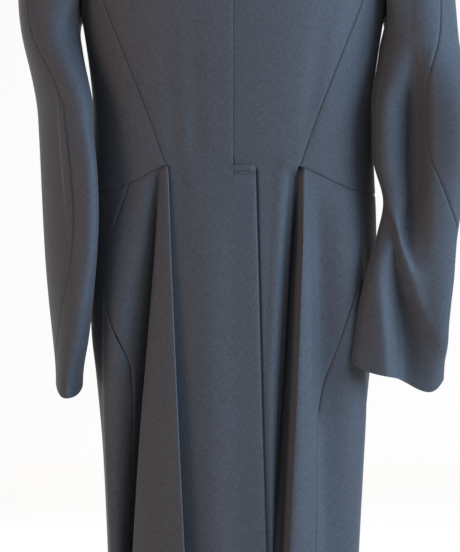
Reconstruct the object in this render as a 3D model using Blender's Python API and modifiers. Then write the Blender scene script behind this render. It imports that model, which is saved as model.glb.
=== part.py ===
"""A long double-breasted jacket in navy wool, filled out and hollow, as it hangs on its wearer.

The cloth is a thin wall on level sections of a general figure, cut into the panels that a
tailor would sew. The front faces -Y, the wearer's left is +X and +Z is up. The origin is the
middle of the neck, level with the tops of the shoulder seams. Sizes are in metres and angles
in degrees, counted round the body from the centre back, through the wearer's side, to the
centre front.
"""
import math
from collections import namedtuple

import bpy
from mathutils import Vector

# Cloth and seams
WALL = 0.0012
SEAM_GAP = 0.0004
WAIST_GAP = 0.0009
ARMHOLE_GAP = 0.0008
SLEEVE_SEAM_GAP = 0.5
LAYER_GAP = 0.0005

# The body: level sections from the hem to the shoulders, as wide there as the sleeve heads
CHEST = -0.215
ROUNDNESS = 2.4
Section = namedtuple("Section", "height half_width back_depth front_depth")
BODY = [
    Section(-0.885, 0.143, 0.121, 0.127),
    Section(-0.715, 0.151, 0.116, 0.122),
    Section(-0.627, 0.159, 0.112, 0.119),
    Section(-0.584, 0.164, 0.110, 0.117),
    Section(-0.500, 0.167, 0.105, 0.114),
    Section(-0.440, 0.1665, 0.099, 0.108),
    Section(-0.395, 0.1645, 0.094, 0.104),
    Section(-0.345, 0.163, 0.094, 0.108),
    Section(-0.300, 0.164, 0.098, 0.118),
    Section(-0.215, 0.176, 0.105, 0.126),
    Section(-0.170, 0.187, 0.105, 0.125),
    Section(-0.110, 0.212, 0.102, 0.118),
    Section(-0.030, 0.232, 0.100, 0.112),
]

# Above the chest the sections close over the shoulders
SHOULDER_ROUNDNESS = 2.5
NECK_HALF_WIDTH = 0.072
NECK_BACK_DEPTH = 0.053
SHOULDER_TIP = 0.190
SHOULDER_SLOPE = 0.37
NECKLINE = -0.018

# Levels of the rows of the cloth, from the hem to the knee of the waist seam
SKIRT_LEVELS = [-0.885, -0.822, -0.762, -0.704, -0.648, -0.594, -0.541, -0.492, -0.445]
WAIST_STEPS = [1 / 3, 2 / 3, 1]
BODICE_STEPS = [0.10, 0.26, 0.42, 0.61, 0.81, 1]
SHOULDER_STEPS = [0.18, 0.36, 0.54, 0.70, 0.83, 0.93, 1]
WAIST_ROW = len(SKIRT_LEVELS) + len(WAIST_STEPS) - 1
ARMHOLE_ROW = WAIST_ROW + len(BODICE_STEPS)

# The waist seam dips from the princess seams towards the sides
Level = namedtuple("Level", "angle height")
WAIST_SEAM = [
    Level(23, -0.393),
    Level(38, -0.4085),
    Level(52, -0.4178),
    Level(66, -0.4200),
    Level(90, -0.4210),
    Level(120, -0.4160),
    Level(143, -0.4100),
]
ARMHOLE_FOOT = [
    Level(56, -0.170),
    Level(72, -0.193),
    Level(90, -0.213),
    Level(106, -0.197),
    Level(126, -0.170),
]

# Seams that run down the panels: distance from the middle at each height
Seam = namedtuple("Seam", "height reach")
BACK_PRINCESS = [
    Seam(-0.393, 0.0745),
    Seam(-0.328, 0.0980),
    Seam(-0.260, 0.1250),
    Seam(-0.215, 0.1430),
    Seam(-0.170, 0.1580),
]
FRONT_PRINCESS = [
    Seam(-0.885, 0.112),
    Seam(-0.600, 0.110),
    Seam(-0.410, 0.100),
    Seam(-0.300, 0.116),
    Seam(-0.215, 0.142),
    Seam(-0.170, 0.156),
]
GORE_SEAM_LEFT = [
    Seam(-0.885, 0.125),
    Seam(-0.703, 0.117),
    Seam(-0.620, 0.116),
    Seam(-0.589, 0.125),
    Seam(-0.553, 0.1355),
    Seam(-0.523, 0.140),
    Seam(-0.471, 0.1345),
    Seam(-0.415, 0.118),
]
GORE_SEAM_RIGHT = [
    Seam(-0.885, 0.088),
    Seam(-0.703, 0.095),
    Seam(-0.638, 0.1017),
    Seam(-0.610, 0.1096),
    Seam(-0.570, 0.121),
    Seam(-0.5206, 0.1345),
    Seam(-0.481, 0.139),
    Seam(-0.415, 0.141),
]

# Armhole edges from the foot (0) to the shoulder tip (1)
Edge = namedtuple("Edge", "share reach")
ARMHOLE_BACK = [Edge(0, 0.158), Edge(0.2, 0.156), Edge(0.5, 0.161), Edge(0.8, 0.175), Edge(1, SHOULDER_TIP)]
ARMHOLE_FRONT = [Edge(0, 0.156), Edge(0.2, 0.153), Edge(0.5, 0.157), Edge(0.8, 0.172), Edge(1, SHOULDER_TIP)]

# Pleats at the foot of the back princess seams: edge of the fold, its far edge, and how far the
# fold stands out and the valley behind it sinks in
Fold = namedtuple("Fold", "height edge far_edge rise valley")
PLEAT_LEFT = [
    Fold(-0.885, 0.0455, 0.1160, 0.0198, 0.0245),
    Fold(-0.703, 0.0555, 0.1045, 0.0150, 0.0200),
    Fold(-0.601, 0.0610, 0.0960, 0.0115, 0.0150),
    Fold(-0.504, 0.0660, 0.0880, 0.0080, 0.0100),
    Fold(-0.407, 0.0707, 0.0815, 0.0042, 0.0030),
    Fold(-0.393, 0.0720, 0.0800, 0.0034, 0.0006),
]
PLEAT_RIGHT = [
    Fold(-0.885, 0.0460, 0.1350, 0.0165, 0.0235),
    Fold(-0.703, 0.0560, 0.1240, 0.0130, 0.0190),
    Fold(-0.601, 0.0615, 0.1150, 0.0100, 0.0150),
    Fold(-0.504, 0.0660, 0.1060, 0.0075, 0.0110),
    Fold(-0.407, 0.0722, 0.0900, 0.0020, 0.0065),
    Fold(-0.393, 0.0745, 0.0860, 0.0005, 0.0050),
]
PLEAT_UNDERLAY = 0.012
PLEAT_DIRECTION = Vector((0.17, 0.985, 0))
SLIT_WIDTH = 0.0035

# The lap of the centre back pleat: its head and the reach of its folded edge past the centre
LAP_HEAD = -0.393
LAP = [
    Seam(-0.885, 0.0375),
    Seam(-0.703, 0.0320),
    Seam(-0.520, 0.0275),
    Seam(-0.393, 0.0242),
]
LAP_LIFT = 0.0017
LAP_SINK = 0.0016
LAP_FADE_START = 0.040
LAP_FADE_END = 0.062

# The double-breasted fronts
OVERLAP = 0.078
BREAK_HEIGHT = -0.345
FRONT_LIFT = 0.0011
FRONT_SINK = 0.0011
LAPEL_WIDTH = 0.080
LAPEL_FOOT = {1: -0.158, -1: -0.335}
GORGE_HEIGHT = -0.078
PEAK_LIFT = 0.030
LAPEL_ROLL = 0.0020
LAPEL_GAP = 0.0007

# The collar
STAND = 0.024
BACK_STAND = 0.036
COLLAR_SIDE_REACH = 0.116
COLLAR_BACK_REACH = 0.083
COLLAR_GAP = 0.0016

# The sleeves: oval sections, from below the armhole to the cuff
Sleeve = namedtuple("Sleeve", "height reach depth half_across half_along turn back_seam front_seam")
SLEEVE_LEFT = [
    Sleeve(-0.675, 0.187, 0.034, 0.0150, 0.0585, 3, 0, -132),
    Sleeve(-0.630, 0.187, 0.034, 0.0155, 0.0585, 4, 8, -132),
    Sleeve(-0.587, 0.1850, 0.042, 0.0195, 0.060, 12, 25, -132),
    Sleeve(-0.543, 0.1842, 0.049, 0.0222, 0.061, 18, 40, -132),
    Sleeve(-0.5035, 0.1841, 0.050, 0.0232, 0.062, 23, 49, -132),
    Sleeve(-0.453, 0.1843, 0.050, 0.0240, 0.063, 26.5, 51, -132),
    Sleeve(-0.400, 0.1868, 0.046, 0.0240, 0.064, 27, 48, -132),
    Sleeve(-0.350, 0.191, 0.039, 0.0250, 0.065, 24, 50, -132),
    Sleeve(-0.3175, 0.194, 0.034, 0.0265, 0.066, 21, 52, -132),
    Sleeve(-0.255, 0.207, 0.016, 0.0330, 0.066, 9, 47, -132),
]
SLEEVE_RIGHT = [
    Sleeve(-0.675, 0.182, 0.077, 0.0240, 0.055, 76, -82, -184),
    Sleeve(-0.610, 0.184, 0.0765, 0.0250, 0.055, 76, -82, -184),
    Sleeve(-0.586, 0.1876, 0.074, 0.0270, 0.055, 74, -80, -182),
    Sleeve(-0.553, 0.1922, 0.069, 0.0290, 0.056, 69, -76, -178),
    Sleeve(-0.504, 0.2012, 0.058, 0.0335, 0.059, 52, -62, -166),
    Sleeve(-0.4675, 0.209, 0.050, 0.0350, 0.059, 43, -26, -152),
    Sleeve(-0.429, 0.215, 0.044, 0.0385, 0.0605, 33, 19, -140),
    Sleeve(-0.373, 0.212, 0.038, 0.0480, 0.061, 37, 42, -134),
    Sleeve(-0.3206, 0.2125, 0.035, 0.0490, 0.060, 38, 49, -132),
    Sleeve(-0.255, 0.214, 0.020, 0.0440, 0.062, 18, 47, -132),
]
Rim = namedtuple("Rim", "angle height")
CUFF_LEFT = [
    Rim(-90, -0.632),
    Rim(0, -0.634),
    Rim(60, -0.648),
    Rim(90, -0.6505),
    Rim(135, -0.648),
    Rim(180, -0.641),
    Rim(270, -0.632),
]
CUFF_RIGHT = [
    Rim(-90, -0.622),
    Rim(-45, -0.645),
    Rim(0, -0.630),
    Rim(45, -0.621),
    Rim(90, -0.610),
    Rim(180, -0.608),
    Rim(270, -0.622),
]
SLEEVE_LEVELS = [-0.300, -0.345, -0.390, -0.430, -0.468, -0.504, -0.540, -0.575]
CUFF_STEPS = [0.5, 1]
CAP_STEPS = [0, 0.14, 0.32, 0.54, 0.77, 1]
ARMHOLE_CORNER = 118
BACK_SLEEVE_SEAM = 47
FRONT_SLEEVE_SEAM = -132

# Buttons in two columns on the overlapping front
BUTTON_RADIUS = 0.0125
BUTTON_THICKNESS = 0.0038
BUTTON_REACH = 0.056
BUTTON_HEIGHTS = [-0.365, -0.455, -0.545]


def clear_scene():
    for item in list(bpy.data.objects):
        bpy.data.objects.remove(item, do_unlink=True)


def value(rows, column, key):
    """Read a column of a table between its rows, on a smooth curve through them."""
    rows = sorted(rows, key=lambda row: row[0])
    if key <= rows[0][0]:
        return getattr(rows[0], column)
    if key >= rows[-1][0]:
        return getattr(rows[-1], column)
    last = max(i for i, row in enumerate(rows[:-1]) if row[0] <= key)
    keys = [row[0] for row in rows]
    values = [getattr(row, column) for row in rows]

    def slope(i):
        low = max(i - 1, 0)
        high = min(i + 1, len(rows) - 1)
        return (values[high] - values[low]) / (keys[high] - keys[low])

    span = keys[last + 1] - keys[last]
    t = (key - keys[last]) / span
    plain = values[last] * (1 + 2 * t) * (1 - t) ** 2 + values[last + 1] * t ** 2 * (3 - 2 * t)
    return plain + span * (slope(last) * t * (1 - t) ** 2 - slope(last + 1) * t ** 2 * (1 - t))


def smooth_step(low, high, key):
    t = min(max((key - low) / (high - low), 0), 1)
    return t * t * (3 - 2 * t)


def lerp(a, b, t):
    return a + (b - a) * t


def signed_power(number, power):
    return math.copysign(abs(number) ** power, number)


def shoulder_height(x):
    """Height of the shoulder line at a distance from the middle; level across the neck."""
    return -SHOULDER_SLOPE * max(abs(x) - NECK_HALF_WIDTH, 0)


def full_depth(x, height, front=False):
    """How deep the body is at a distance from the middle, before it closes over the shoulder."""
    share = min(abs(x) / value(BODY, "half_width", height), 1)
    depth = value(BODY, "front_depth" if front else "back_depth", height)
    return (-depth if front else depth) * (1 - share ** ROUNDNESS) ** (1 / ROUNDNESS)


def shoulder_fall(x, height):
    """The share of its depth that the body keeps at a height above the chest."""
    if height <= CHEST:
        return 1
    rise = min((height - CHEST) / (shoulder_height(x) - CHEST), 1)
    return (1 - rise ** SHOULDER_ROUNDNESS) ** (1 / SHOULDER_ROUNDNESS)


def ring_point(angle, height):
    """A point of the plain body, on the wearer's left."""
    sine = math.sin(math.radians(angle))
    cosine = math.cos(math.radians(angle))
    depth = value(BODY, "back_depth" if cosine > 0 else "front_depth", height)
    x = value(BODY, "half_width", height) * signed_power(sine, 2 / ROUNDNESS)
    y = depth * signed_power(cosine, 2 / ROUNDNESS) * shoulder_fall(x, height)
    return Vector((x, y, height))


def outward(angle, height):
    """The direction straight out of the plain body."""
    step = 0.5
    along = ring_point(angle + step, height) - ring_point(angle - step, height)
    up = ring_point(angle, min(height, -0.01) + 0.002) - ring_point(angle, min(height, -0.01) - 0.002)
    return up.cross(along).normalized()


def angle_of(x, height, front=False):
    """The angle at which the body reaches a distance from the middle."""
    share = min(abs(x) / value(BODY, "half_width", height), 1)
    angle = math.copysign(math.degrees(math.asin(share ** (ROUNDNESS / 2))), x)
    return 180 - angle if front else angle


def row_height(row, angle):
    """Height of a row of the cloth: level in the skirt, along the seams above it."""
    if row < len(SKIRT_LEVELS):
        return SKIRT_LEVELS[row]
    waist = value(WAIST_SEAM, "height", angle)
    if row <= WAIST_ROW:
        return lerp(SKIRT_LEVELS[-1], waist, WAIST_STEPS[row - len(SKIRT_LEVELS)])
    foot = value(ARMHOLE_FOOT, "height", angle)
    return lerp(waist, foot, BODICE_STEPS[row - WAIST_ROW - 1])


def valley(side, x, height):
    """How far the skirt beside a pleat stands in or out, past the pleat's far edge."""
    table = PLEAT_LEFT if side > 0 else PLEAT_RIGHT
    if height > table[-1].height:
        return 0
    far_edge = value(table, "far_edge", height)
    if side > 0:
        depth = value(table, "valley", height)
        floor = far_edge + 0.3 * depth
        width = min(0.012 + 1.4 * depth, 0.92 * value(BODY, "half_width", height) - floor)
        share = min(max((x - floor) / width, 0), 1)
        return -depth * (1 - share) ** 2 * (1 + 2 * share)
    edge = value(table, "edge", height)
    share = min(max((x - edge) / (far_edge - edge), 0), 1)
    return value(table, "rise", height) * 6.75 * share * (1 - share) ** 2


def cloth(side, angle, height):
    """A point of the outer face of the cloth, on the wearer's left (1) or right (-1)."""
    point = ring_point(angle, height)
    if height < LAP_HEAD and 0 < angle < 90:
        point += PLEAT_DIRECTION * valley(side, point.x, height)
    return Vector((point.x * side, point.y, point.z))


def pleat_point(side, x, row, lift):
    """A point of a pleat at a distance from the middle, standing out or sunk in."""
    height = height_at(lambda level: x, row)
    point = ring_point(angle_of(x, height), height) + PLEAT_DIRECTION * lift
    return Vector((point.x * side, point.y, point.z))


def body_place(side, x, height, lift=0, front=False):
    """A point at a distance from the middle, lifted straight out of the plain body."""
    angle = angle_of(x, height, front)
    point = ring_point(angle, height) + outward(angle, height) * lift
    return Vector((point.x * side, point.y, point.z))


def height_at(reach, row, front=False):
    """Where a row of the cloth meets a line that reaches some distance from the middle."""
    height = row_height(row, 140 if front else 30)
    for _ in range(6):
        height = row_height(row, angle_of(reach(height), height, front))
    return height


def at_reach(side, x, row, lift=0, front=False):
    """A point of the plain body at a distance from the middle, on a row of the cloth."""
    height = height_at(lambda level: x, row, front)
    return body_place(side, x, height, lift, front)


def shoulder_point(x, turn, front):
    """A point on the way over the shoulder: turn 0 is at the chest, 90 on the shoulder seam."""
    rise = math.sin(math.radians(turn)) ** (2 / SHOULDER_ROUNDNESS)
    height = lerp(CHEST, shoulder_height(x), rise)
    return ring_point(angle_of(x, height, front), height)


def shoulder_turn(x, height):
    """The turn over the shoulder at which the body reaches a height."""
    rise = (height - CHEST) / (shoulder_height(x) - CHEST)
    return math.degrees(math.asin(min(rise, 1) ** (SHOULDER_ROUNDNESS / 2)))


def neck_turn(x):
    """The turn over the shoulder at the back neckline."""
    if abs(x) >= NECK_HALF_WIDTH:
        return 90
    depth = NECK_BACK_DEPTH * math.sqrt(1 - (x / NECK_HALF_WIDTH) ** 2)
    share = depth / full_depth(x, NECKLINE)
    return math.degrees(math.acos(share ** (SHOULDER_ROUNDNESS / 2)))


def make_material(name, colour, roughness, sheen=0):
    material = bpy.data.materials.new(name)
    material.use_nodes = True
    shader = material.node_tree.nodes["Principled BSDF"]
    shader.inputs["Base Color"].default_value = (*colour, 1)
    shader.inputs["Roughness"].default_value = roughness
    shader.inputs["Metallic"].default_value = 0
    shader.inputs["Sheen Weight"].default_value = sheen
    material.diffuse_color = (*colour, 1)
    return material


def place(name, mesh, material):
    mesh.materials.append(material)
    item = bpy.data.objects.new(name, mesh)
    bpy.data.collections["Double-breasted jacket"].objects.link(item)
    return item


def cloth_piece(name, grid, material, inside_out=False):
    """A piece of cloth: rows of outer points, with gaps in a row as None, given its thickness."""
    points = []
    number = {}
    for r, row in enumerate(grid):
        for c, point in enumerate(row):
            if point is not None:
                number[r, c] = len(points)
                points.append(point)
    faces = []
    for r in range(len(grid) - 1):
        for c in range(len(grid[0]) - 1):
            corners = [(r, c), (r, c + 1), (r + 1, c + 1), (r + 1, c)]
            if all(corner in number for corner in corners):
                face = [number[corner] for corner in corners]
                faces.append(face if inside_out else face[::-1])
    mesh = bpy.data.meshes.new(name)
    mesh.from_pydata(points, [], faces)
    mesh.shade_smooth()
    item = place(name, mesh, material)
    wall = item.modifiers.new("Wall", "SOLIDIFY")
    wall.thickness = WALL
    wall.offset = -1
    return item


def shift(grid, row, distance):
    """Open a seam: move one row of a piece up or down."""
    for point in grid[row]:
        if point is not None:
            point.z += distance


def panel_grid(side, first_edge, last_edge, columns, rows):
    """Outer points of a plain panel between two seams, each an angle at a height."""
    grid = []
    for row in rows:
        line = []
        for c in range(columns + 1):
            share = c / columns
            height = row_height(row, 60)
            for _ in range(4):
                angle = lerp(first_edge(height), last_edge(height), share)
                height = row_height(row, angle)
            line.append(cloth(side, angle, height))
        grid.append(line)
    return grid


def back_princess(offset):
    return lambda height: angle_of(value(BACK_PRINCESS, "reach", height) + offset, height)


def front_princess(offset):
    return lambda height: angle_of(value(FRONT_PRINCESS, "reach", height) + offset, height, front=True)


def gore_seam(side, offset):
    table = GORE_SEAM_LEFT if side > 0 else GORE_SEAM_RIGHT
    return lambda height: angle_of(value(table, "reach", height) + offset, height)


def side_seam(offset):
    return lambda height: 90 + offset


def fold_arc(centre_x, centre_lift, radius, start, end, steps):
    """Points round a folded edge, as distance from the middle and lift off the body."""
    turns = [math.radians(lerp(start, end, i / steps)) for i in range(steps + 1)]
    return [(centre_x + radius * math.cos(turn), centre_lift + radius * math.sin(turn)) for turn in turns]


def lap_share(height):
    """How much of the lap there is: none in the bodice, all of it below its head."""
    return smooth_step(LAP_HEAD + 0.014, LAP_HEAD, height)


def centre_fade(x):
    return smooth_step(LAP_FADE_END, LAP_FADE_START, abs(x))


def back_edge(side, height):
    """Outer edge of a centre back panel: the princess seam, then the hidden edge at the pleat."""
    if height >= LAP_HEAD:
        return value(BACK_PRINCESS, "reach", height) - SEAM_GAP / 2
    if side < 0:
        return value(PLEAT_RIGHT, "edge", height) - SLIT_WIDTH / 2
    fold = value(PLEAT_LEFT, "edge", height)
    growth = min((LAP_HEAD - height) / 0.31, 1)
    return fold + lerp(0.002, PLEAT_UNDERLAY, growth) - SEAM_GAP / 2


def back_main(side, row, columns):
    """A row of a centre back panel, from the centre back seam to its outer edge."""
    height = height_at(lambda level: back_edge(side, level), row)
    edge = back_edge(side, height)
    share = lap_share(row_height(row, 0))
    centre_lift = LAP_LIFT if side > 0 else -LAP_SINK
    line = []
    for c in range(columns + 1):
        x = lerp(SEAM_GAP / 2, edge, c / columns)
        line.append(at_reach(side, x, row, centre_lift * share * centre_fade(x)))
    return line


def back_lap(row):
    """The folded lap of the left back: the turned-under layer, the fold and the upper layer."""
    height = row_height(row, 0)
    if height > LAP_HEAD + SEAM_GAP:
        return [None] * 9
    reach = value(LAP, "reach", height)
    radius = (LAP_LIFT + LAP_SINK - SEAM_GAP) / 2
    middle = LAP_LIFT - radius
    line = [(-0.002, LAP_LIFT - 2 * radius), (-reach / 2, LAP_LIFT - 2 * radius)]
    line += fold_arc(-reach + radius, middle, radius, 270, 90, 4)
    line += [(-reach / 2, LAP_LIFT), (-reach / 5, LAP_LIFT)]
    return [at_reach(1, x, row, lift) for x, lift in line]


def slit_curl(row):
    """The outer edge of the right back, rolled into the slit beside its pleat."""
    height = height_at(lambda level: back_edge(-1, level), row)
    edge = back_edge(-1, height)
    if height >= LAP_HEAD:
        return []
    depth = value(PLEAT_RIGHT, "valley", height)
    return [(edge - 0.0005, -0.0008), (edge + 0.0005, -0.0025), (edge + 0.0006, -depth)]


def right_back_line(row, columns):
    """A row of the right back, whose last columns roll into the slit below the waist."""
    edge = back_edge(-1, height_at(lambda level: back_edge(-1, level), row))
    share = lap_share(row_height(row, 0))
    roll = 0.004
    curl = slit_curl(row)
    if not curl:
        curl = [(edge - roll * (1 - i / 3), 0) for i in (1, 2, 3)]
    line = []
    for c in range(columns + 1):
        x = lerp(SEAM_GAP / 2, edge - roll, c / columns)
        line.append((x, -LAP_SINK * share * centre_fade(x)))
    return [at_reach(-1, x, row, lift) for x, lift in line] + [pleat_point(-1, x, row, lift) for x, lift in curl]


def upper_back(side, columns, share):
    """A row of a centre back panel above the foot of the armhole."""
    line = []
    edge = value(ARMHOLE_BACK, "reach", share)
    for c in range(columns + 1):
        x = lerp(SEAM_GAP / 2, edge - SEAM_GAP / 2, c / columns)
        foot = shoulder_turn(x, ARMHOLE_FOOT[0].height)
        point = shoulder_point(x, lerp(foot, neck_turn(x), share), front=False)
        point.y += SEAM_GAP / 2
        line.append(Vector((point.x * side, point.y, point.z)))
    return line


def make_back(side, material):
    columns = 9
    grid = []
    for row in range(ARMHOLE_ROW + 1):
        if side > 0:
            grid.append(back_lap(row) + back_main(side, row, columns))
        else:
            grid.append(right_back_line(row, columns))
    for share in SHOULDER_STEPS:
        line = upper_back(side, columns if side > 0 else columns + 3, share)
        grid.append([None] * 9 + line if side > 0 else line)
    name = "back_left" if side > 0 else "back_right"
    return cloth_piece(name, grid, material, inside_out=side < 0)


def left_pleat_line(row, columns):
    """A row of the left pleat: hidden layer, pressed edge, sloping face, valley, skirt."""
    height = row_height(row, 25)
    edge = value(PLEAT_LEFT, "edge", height)
    far_edge = value(PLEAT_LEFT, "far_edge", height)
    rise = value(PLEAT_LEFT, "rise", height)
    depth = value(PLEAT_LEFT, "valley", height)
    radius = WALL + LAYER_GAP / 2
    hidden = back_edge(1, height) + SEAM_GAP
    line = [(hidden, SEAM_GAP), (lerp(hidden, edge + radius, 0.5), lerp(SEAM_GAP, rise - 2 * radius, 0.45))]
    line += fold_arc(edge + radius, rise - radius, radius, 260, 80, 4)
    width = far_edge - edge - 2 * radius
    for share in (0.4, 0.8):
        line.append((edge + 2 * radius + width * share, rise * (1 - share) + 0.0004))
    line.append((far_edge, -0.25 * depth))
    floor = far_edge + 0.3 * depth
    line.append((lerp(far_edge, floor, 0.6), -0.8 * depth))
    points = [pleat_point(1, x, row, lift) for x, lift in line]
    seam = gore_seam(1, -SEAM_GAP / 2)
    start = floor + 0.001
    for c in range(columns + 1):
        level = row_height(row, 40)
        for _ in range(4):
            angle = lerp(angle_of(start, level), seam(level), (c / columns) ** 1.3)
            level = row_height(row, angle)
        points.append(cloth(1, angle, level))
    return points


def right_pleat_line(row, columns):
    """A row of the right pleat: out of the slit, over the rolled edge, on to the skirt."""
    height = row_height(row, 25)
    edge = value(PLEAT_RIGHT, "edge", height) + SLIT_WIDTH / 2
    depth = value(PLEAT_RIGHT, "valley", height)
    line = [(edge - 0.0006, -depth), (edge - 0.0005, -0.0025), (edge + 0.0005, -0.0008)]
    points = [pleat_point(-1, x, row, lift) for x, lift in line]
    seam = gore_seam(-1, -SEAM_GAP / 2)
    for c in range(columns + 1):
        level = row_height(row, 40)
        for _ in range(4):
            start = value(PLEAT_RIGHT, "edge", level) + SLIT_WIDTH / 2 + 0.0025
            angle = lerp(angle_of(start, level), seam(level), (c / columns) ** 1.2)
            level = row_height(row, angle)
        points.append(cloth(-1, angle, level))
    return points


def make_pleat(side, material):
    rows = range(WAIST_ROW + 1)
    if side > 0:
        grid = [left_pleat_line(row, 6) for row in rows]
    else:
        grid = [right_pleat_line(row, 9) for row in rows]
    shift(grid, -1, -WAIST_GAP / 2)
    name = "pleat_left" if side > 0 else "pleat_right"
    return cloth_piece(name, grid, material, inside_out=side < 0)


def make_skirt_side(side, material):
    grid = panel_grid(side, gore_seam(side, SEAM_GAP / 2), front_princess(SEAM_GAP / 2), 13,
                      range(WAIST_ROW + 1))
    shift(grid, -1, -WAIST_GAP / 2)
    name = "skirt_side_left" if side > 0 else "skirt_side_right"
    return cloth_piece(name, grid, material, inside_out=side < 0)


def make_side_back(side, material):
    grid = panel_grid(side, back_princess(SEAM_GAP / 2), side_seam(-0.06), 10,
                      range(WAIST_ROW, ARMHOLE_ROW + 1))
    shift(grid, 0, WAIST_GAP / 2)
    name = "side_back_left" if side > 0 else "side_back_right"
    return cloth_piece(name, grid, material, inside_out=side < 0)


def make_side_front(side, material):
    grid = panel_grid(side, side_seam(0.06), front_princess(SEAM_GAP / 2), 8,
                      range(WAIST_ROW, ARMHOLE_ROW + 1))
    shift(grid, 0, WAIST_GAP / 2)
    name = "side_front_left" if side > 0 else "side_front_right"
    return cloth_piece(name, grid, material, inside_out=side < 0)


def front_inner_edge(height):
    """Inner edge of a front: the overlap's edge, then the roll line up to the neck."""
    if height <= BREAK_HEIGHT:
        return -OVERLAP
    return lerp(-OVERLAP, NECK_HALF_WIDTH, (height - BREAK_HEIGHT) / -BREAK_HEIGHT)


def front_lift(side, x):
    """The right front lies on the left one where they overlap."""
    share = smooth_step(0.105, 0.080, x)
    return share * (FRONT_LIFT if side < 0 else -FRONT_SINK)


def make_front(side, material):
    columns = 11
    grid = []
    for row in range(ARMHOLE_ROW + 1):
        height = height_at(lambda level: value(FRONT_PRINCESS, "reach", level), row, front=True)
        edge = value(FRONT_PRINCESS, "reach", height) - SEAM_GAP / 2
        line = []
        for c in range(columns + 1):
            x = lerp(edge, front_inner_edge(height), c / columns)
            line.append(at_reach(side, x, row, front_lift(side, x), front=True))
        grid.append(line)
    start = front_inner_edge(ARMHOLE_FOOT[-1].height)
    for share in SHOULDER_STEPS:
        edge = value(ARMHOLE_FRONT, "reach", share)
        line = []
        for c in range(columns + 1):
            x = lerp(edge - SEAM_GAP / 2, lerp(start, NECK_HALF_WIDTH, share ** 0.8), c / columns)
            foot = shoulder_turn(x, ARMHOLE_FOOT[-1].height)
            point = shoulder_point(x, lerp(foot, 90, share), front=True)
            point.y -= front_lift(side, x) * (1 - share) + SEAM_GAP / 2
            line.append(Vector((point.x * side, point.y, point.z)))
        grid.append(line)
    name = "front_left" if side > 0 else "front_right"
    return cloth_piece(name, grid, material, inside_out=side < 0)


def make_lapel(side, material):
    columns = 6
    rows = 9 if side > 0 else 13
    foot = LAPEL_FOOT[side]
    grid = []
    for r in range(rows + 1):
        share = 1 - (1 - r / rows) ** 1.2
        level = lerp(foot, GORGE_HEIGHT, share)
        width = LAPEL_WIDTH * smooth_step(BREAK_HEIGHT - 0.03, GORGE_HEIGHT, level) + 0.004
        line = []
        for c in range(columns + 1):
            across = c / columns
            height = level + PEAK_LIFT * across * share
            x = front_inner_edge(level) + width * across + 0.0015
            roll = LAPEL_ROLL * (1 - across) ** 2
            lift = front_lift(side, x) + WALL + LAPEL_GAP + roll
            line.append(body_place(side, x, height, lift, front=True))
        grid.append(line)
    name = "lapel_left" if side > 0 else "lapel_right"
    return cloth_piece(name, grid, material, inside_out=side > 0)


def surface_height(x, y):
    """Height of the shoulders over a spot in plan."""
    height = shoulder_height(x)
    for _ in range(5):
        share = min(abs(y / full_depth(x, height, front=y < 0)), 1)
        rise = (1 - share ** SHOULDER_ROUNDNESS) ** (1 / SHOULDER_ROUNDNESS)
        height = lerp(CHEST, shoulder_height(x), rise)
    return height


def make_collar(material):
    half_rows = 10
    back_share = 0.62
    grid = []
    for r in range(-half_rows, half_rows + 1):
        share = abs(r) / half_rows
        side = 1 if r >= 0 else -1
        if share <= back_share:
            turn = math.radians(90 * share / back_share)
            neck = Vector((NECK_HALF_WIDTH * math.sin(turn), NECK_BACK_DEPTH * math.cos(turn), 0))
            fall = Vector((COLLAR_SIDE_REACH * math.sin(turn), COLLAR_BACK_REACH * math.cos(turn), 0))
            stand = lerp(BACK_STAND, STAND, share / back_share)
        else:
            forward = (share - back_share) / (1 - back_share)
            height = lerp(0, GORGE_HEIGHT + 0.006, forward)
            x = front_inner_edge(height)
            neck = Vector((x, -0.075 * forward ** 0.8, 0))
            fall = Vector((COLLAR_SIDE_REACH - 0.004 * forward, -0.070 * forward ** 0.9, 0))
            stand = lerp(STAND, 0.008, forward)
        neck.z = surface_height(neck.x, neck.y) + COLLAR_GAP
        fall.z = surface_height(fall.x, fall.y) + WALL + COLLAR_GAP
        outward_plan = Vector((fall.x - neck.x, fall.y - neck.y, 0)).normalized()
        top = neck + outward_plan * 0.004 + Vector((0, 0, stand))
        line = [neck - outward_plan * 0.001, neck + Vector((0, 0, stand * 0.6)), top]
        line.append(top + outward_plan * 0.006 + Vector((0, 0, -0.002)))
        bulge = top + outward_plan * 0.016 + Vector((0, 0, -0.004))
        for t in (0.5, 0.8, 1):
            line.append(lerp(lerp(line[3], bulge, t), lerp(bulge, fall, t), t))
        grid.append([Vector((point.x * side, point.y, point.z)) for point in line])
    return cloth_piece("collar", grid, material, inside_out=True)


def armhole_point(turn):
    """The edge of the armhole on the wearer's left: 0 at the shoulder tip, 90 at the back."""
    turn = turn % 360
    front = turn > 180
    around = 360 - turn if front else turn
    table = ARMHOLE_FRONT if front else ARMHOLE_BACK
    if around <= ARMHOLE_CORNER:
        share = 1 - around / ARMHOLE_CORNER
        x = value(table, "reach", share)
        foot = shoulder_turn(x, ARMHOLE_FOOT[0].height)
        return shoulder_point(x, lerp(foot, 90, share), front)
    share = (around - ARMHOLE_CORNER) / (180 - ARMHOLE_CORNER)
    angle = lerp(ARMHOLE_FOOT[-1 if front else 0].angle, 90, share)
    seam = FRONT_PRINCESS if front else BACK_PRINCESS
    if share == 0:
        angle = angle_of(value(seam, "reach", -0.170), -0.170, front)
    return ring_point(angle, value(ARMHOLE_FOOT, "height", angle))


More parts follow.
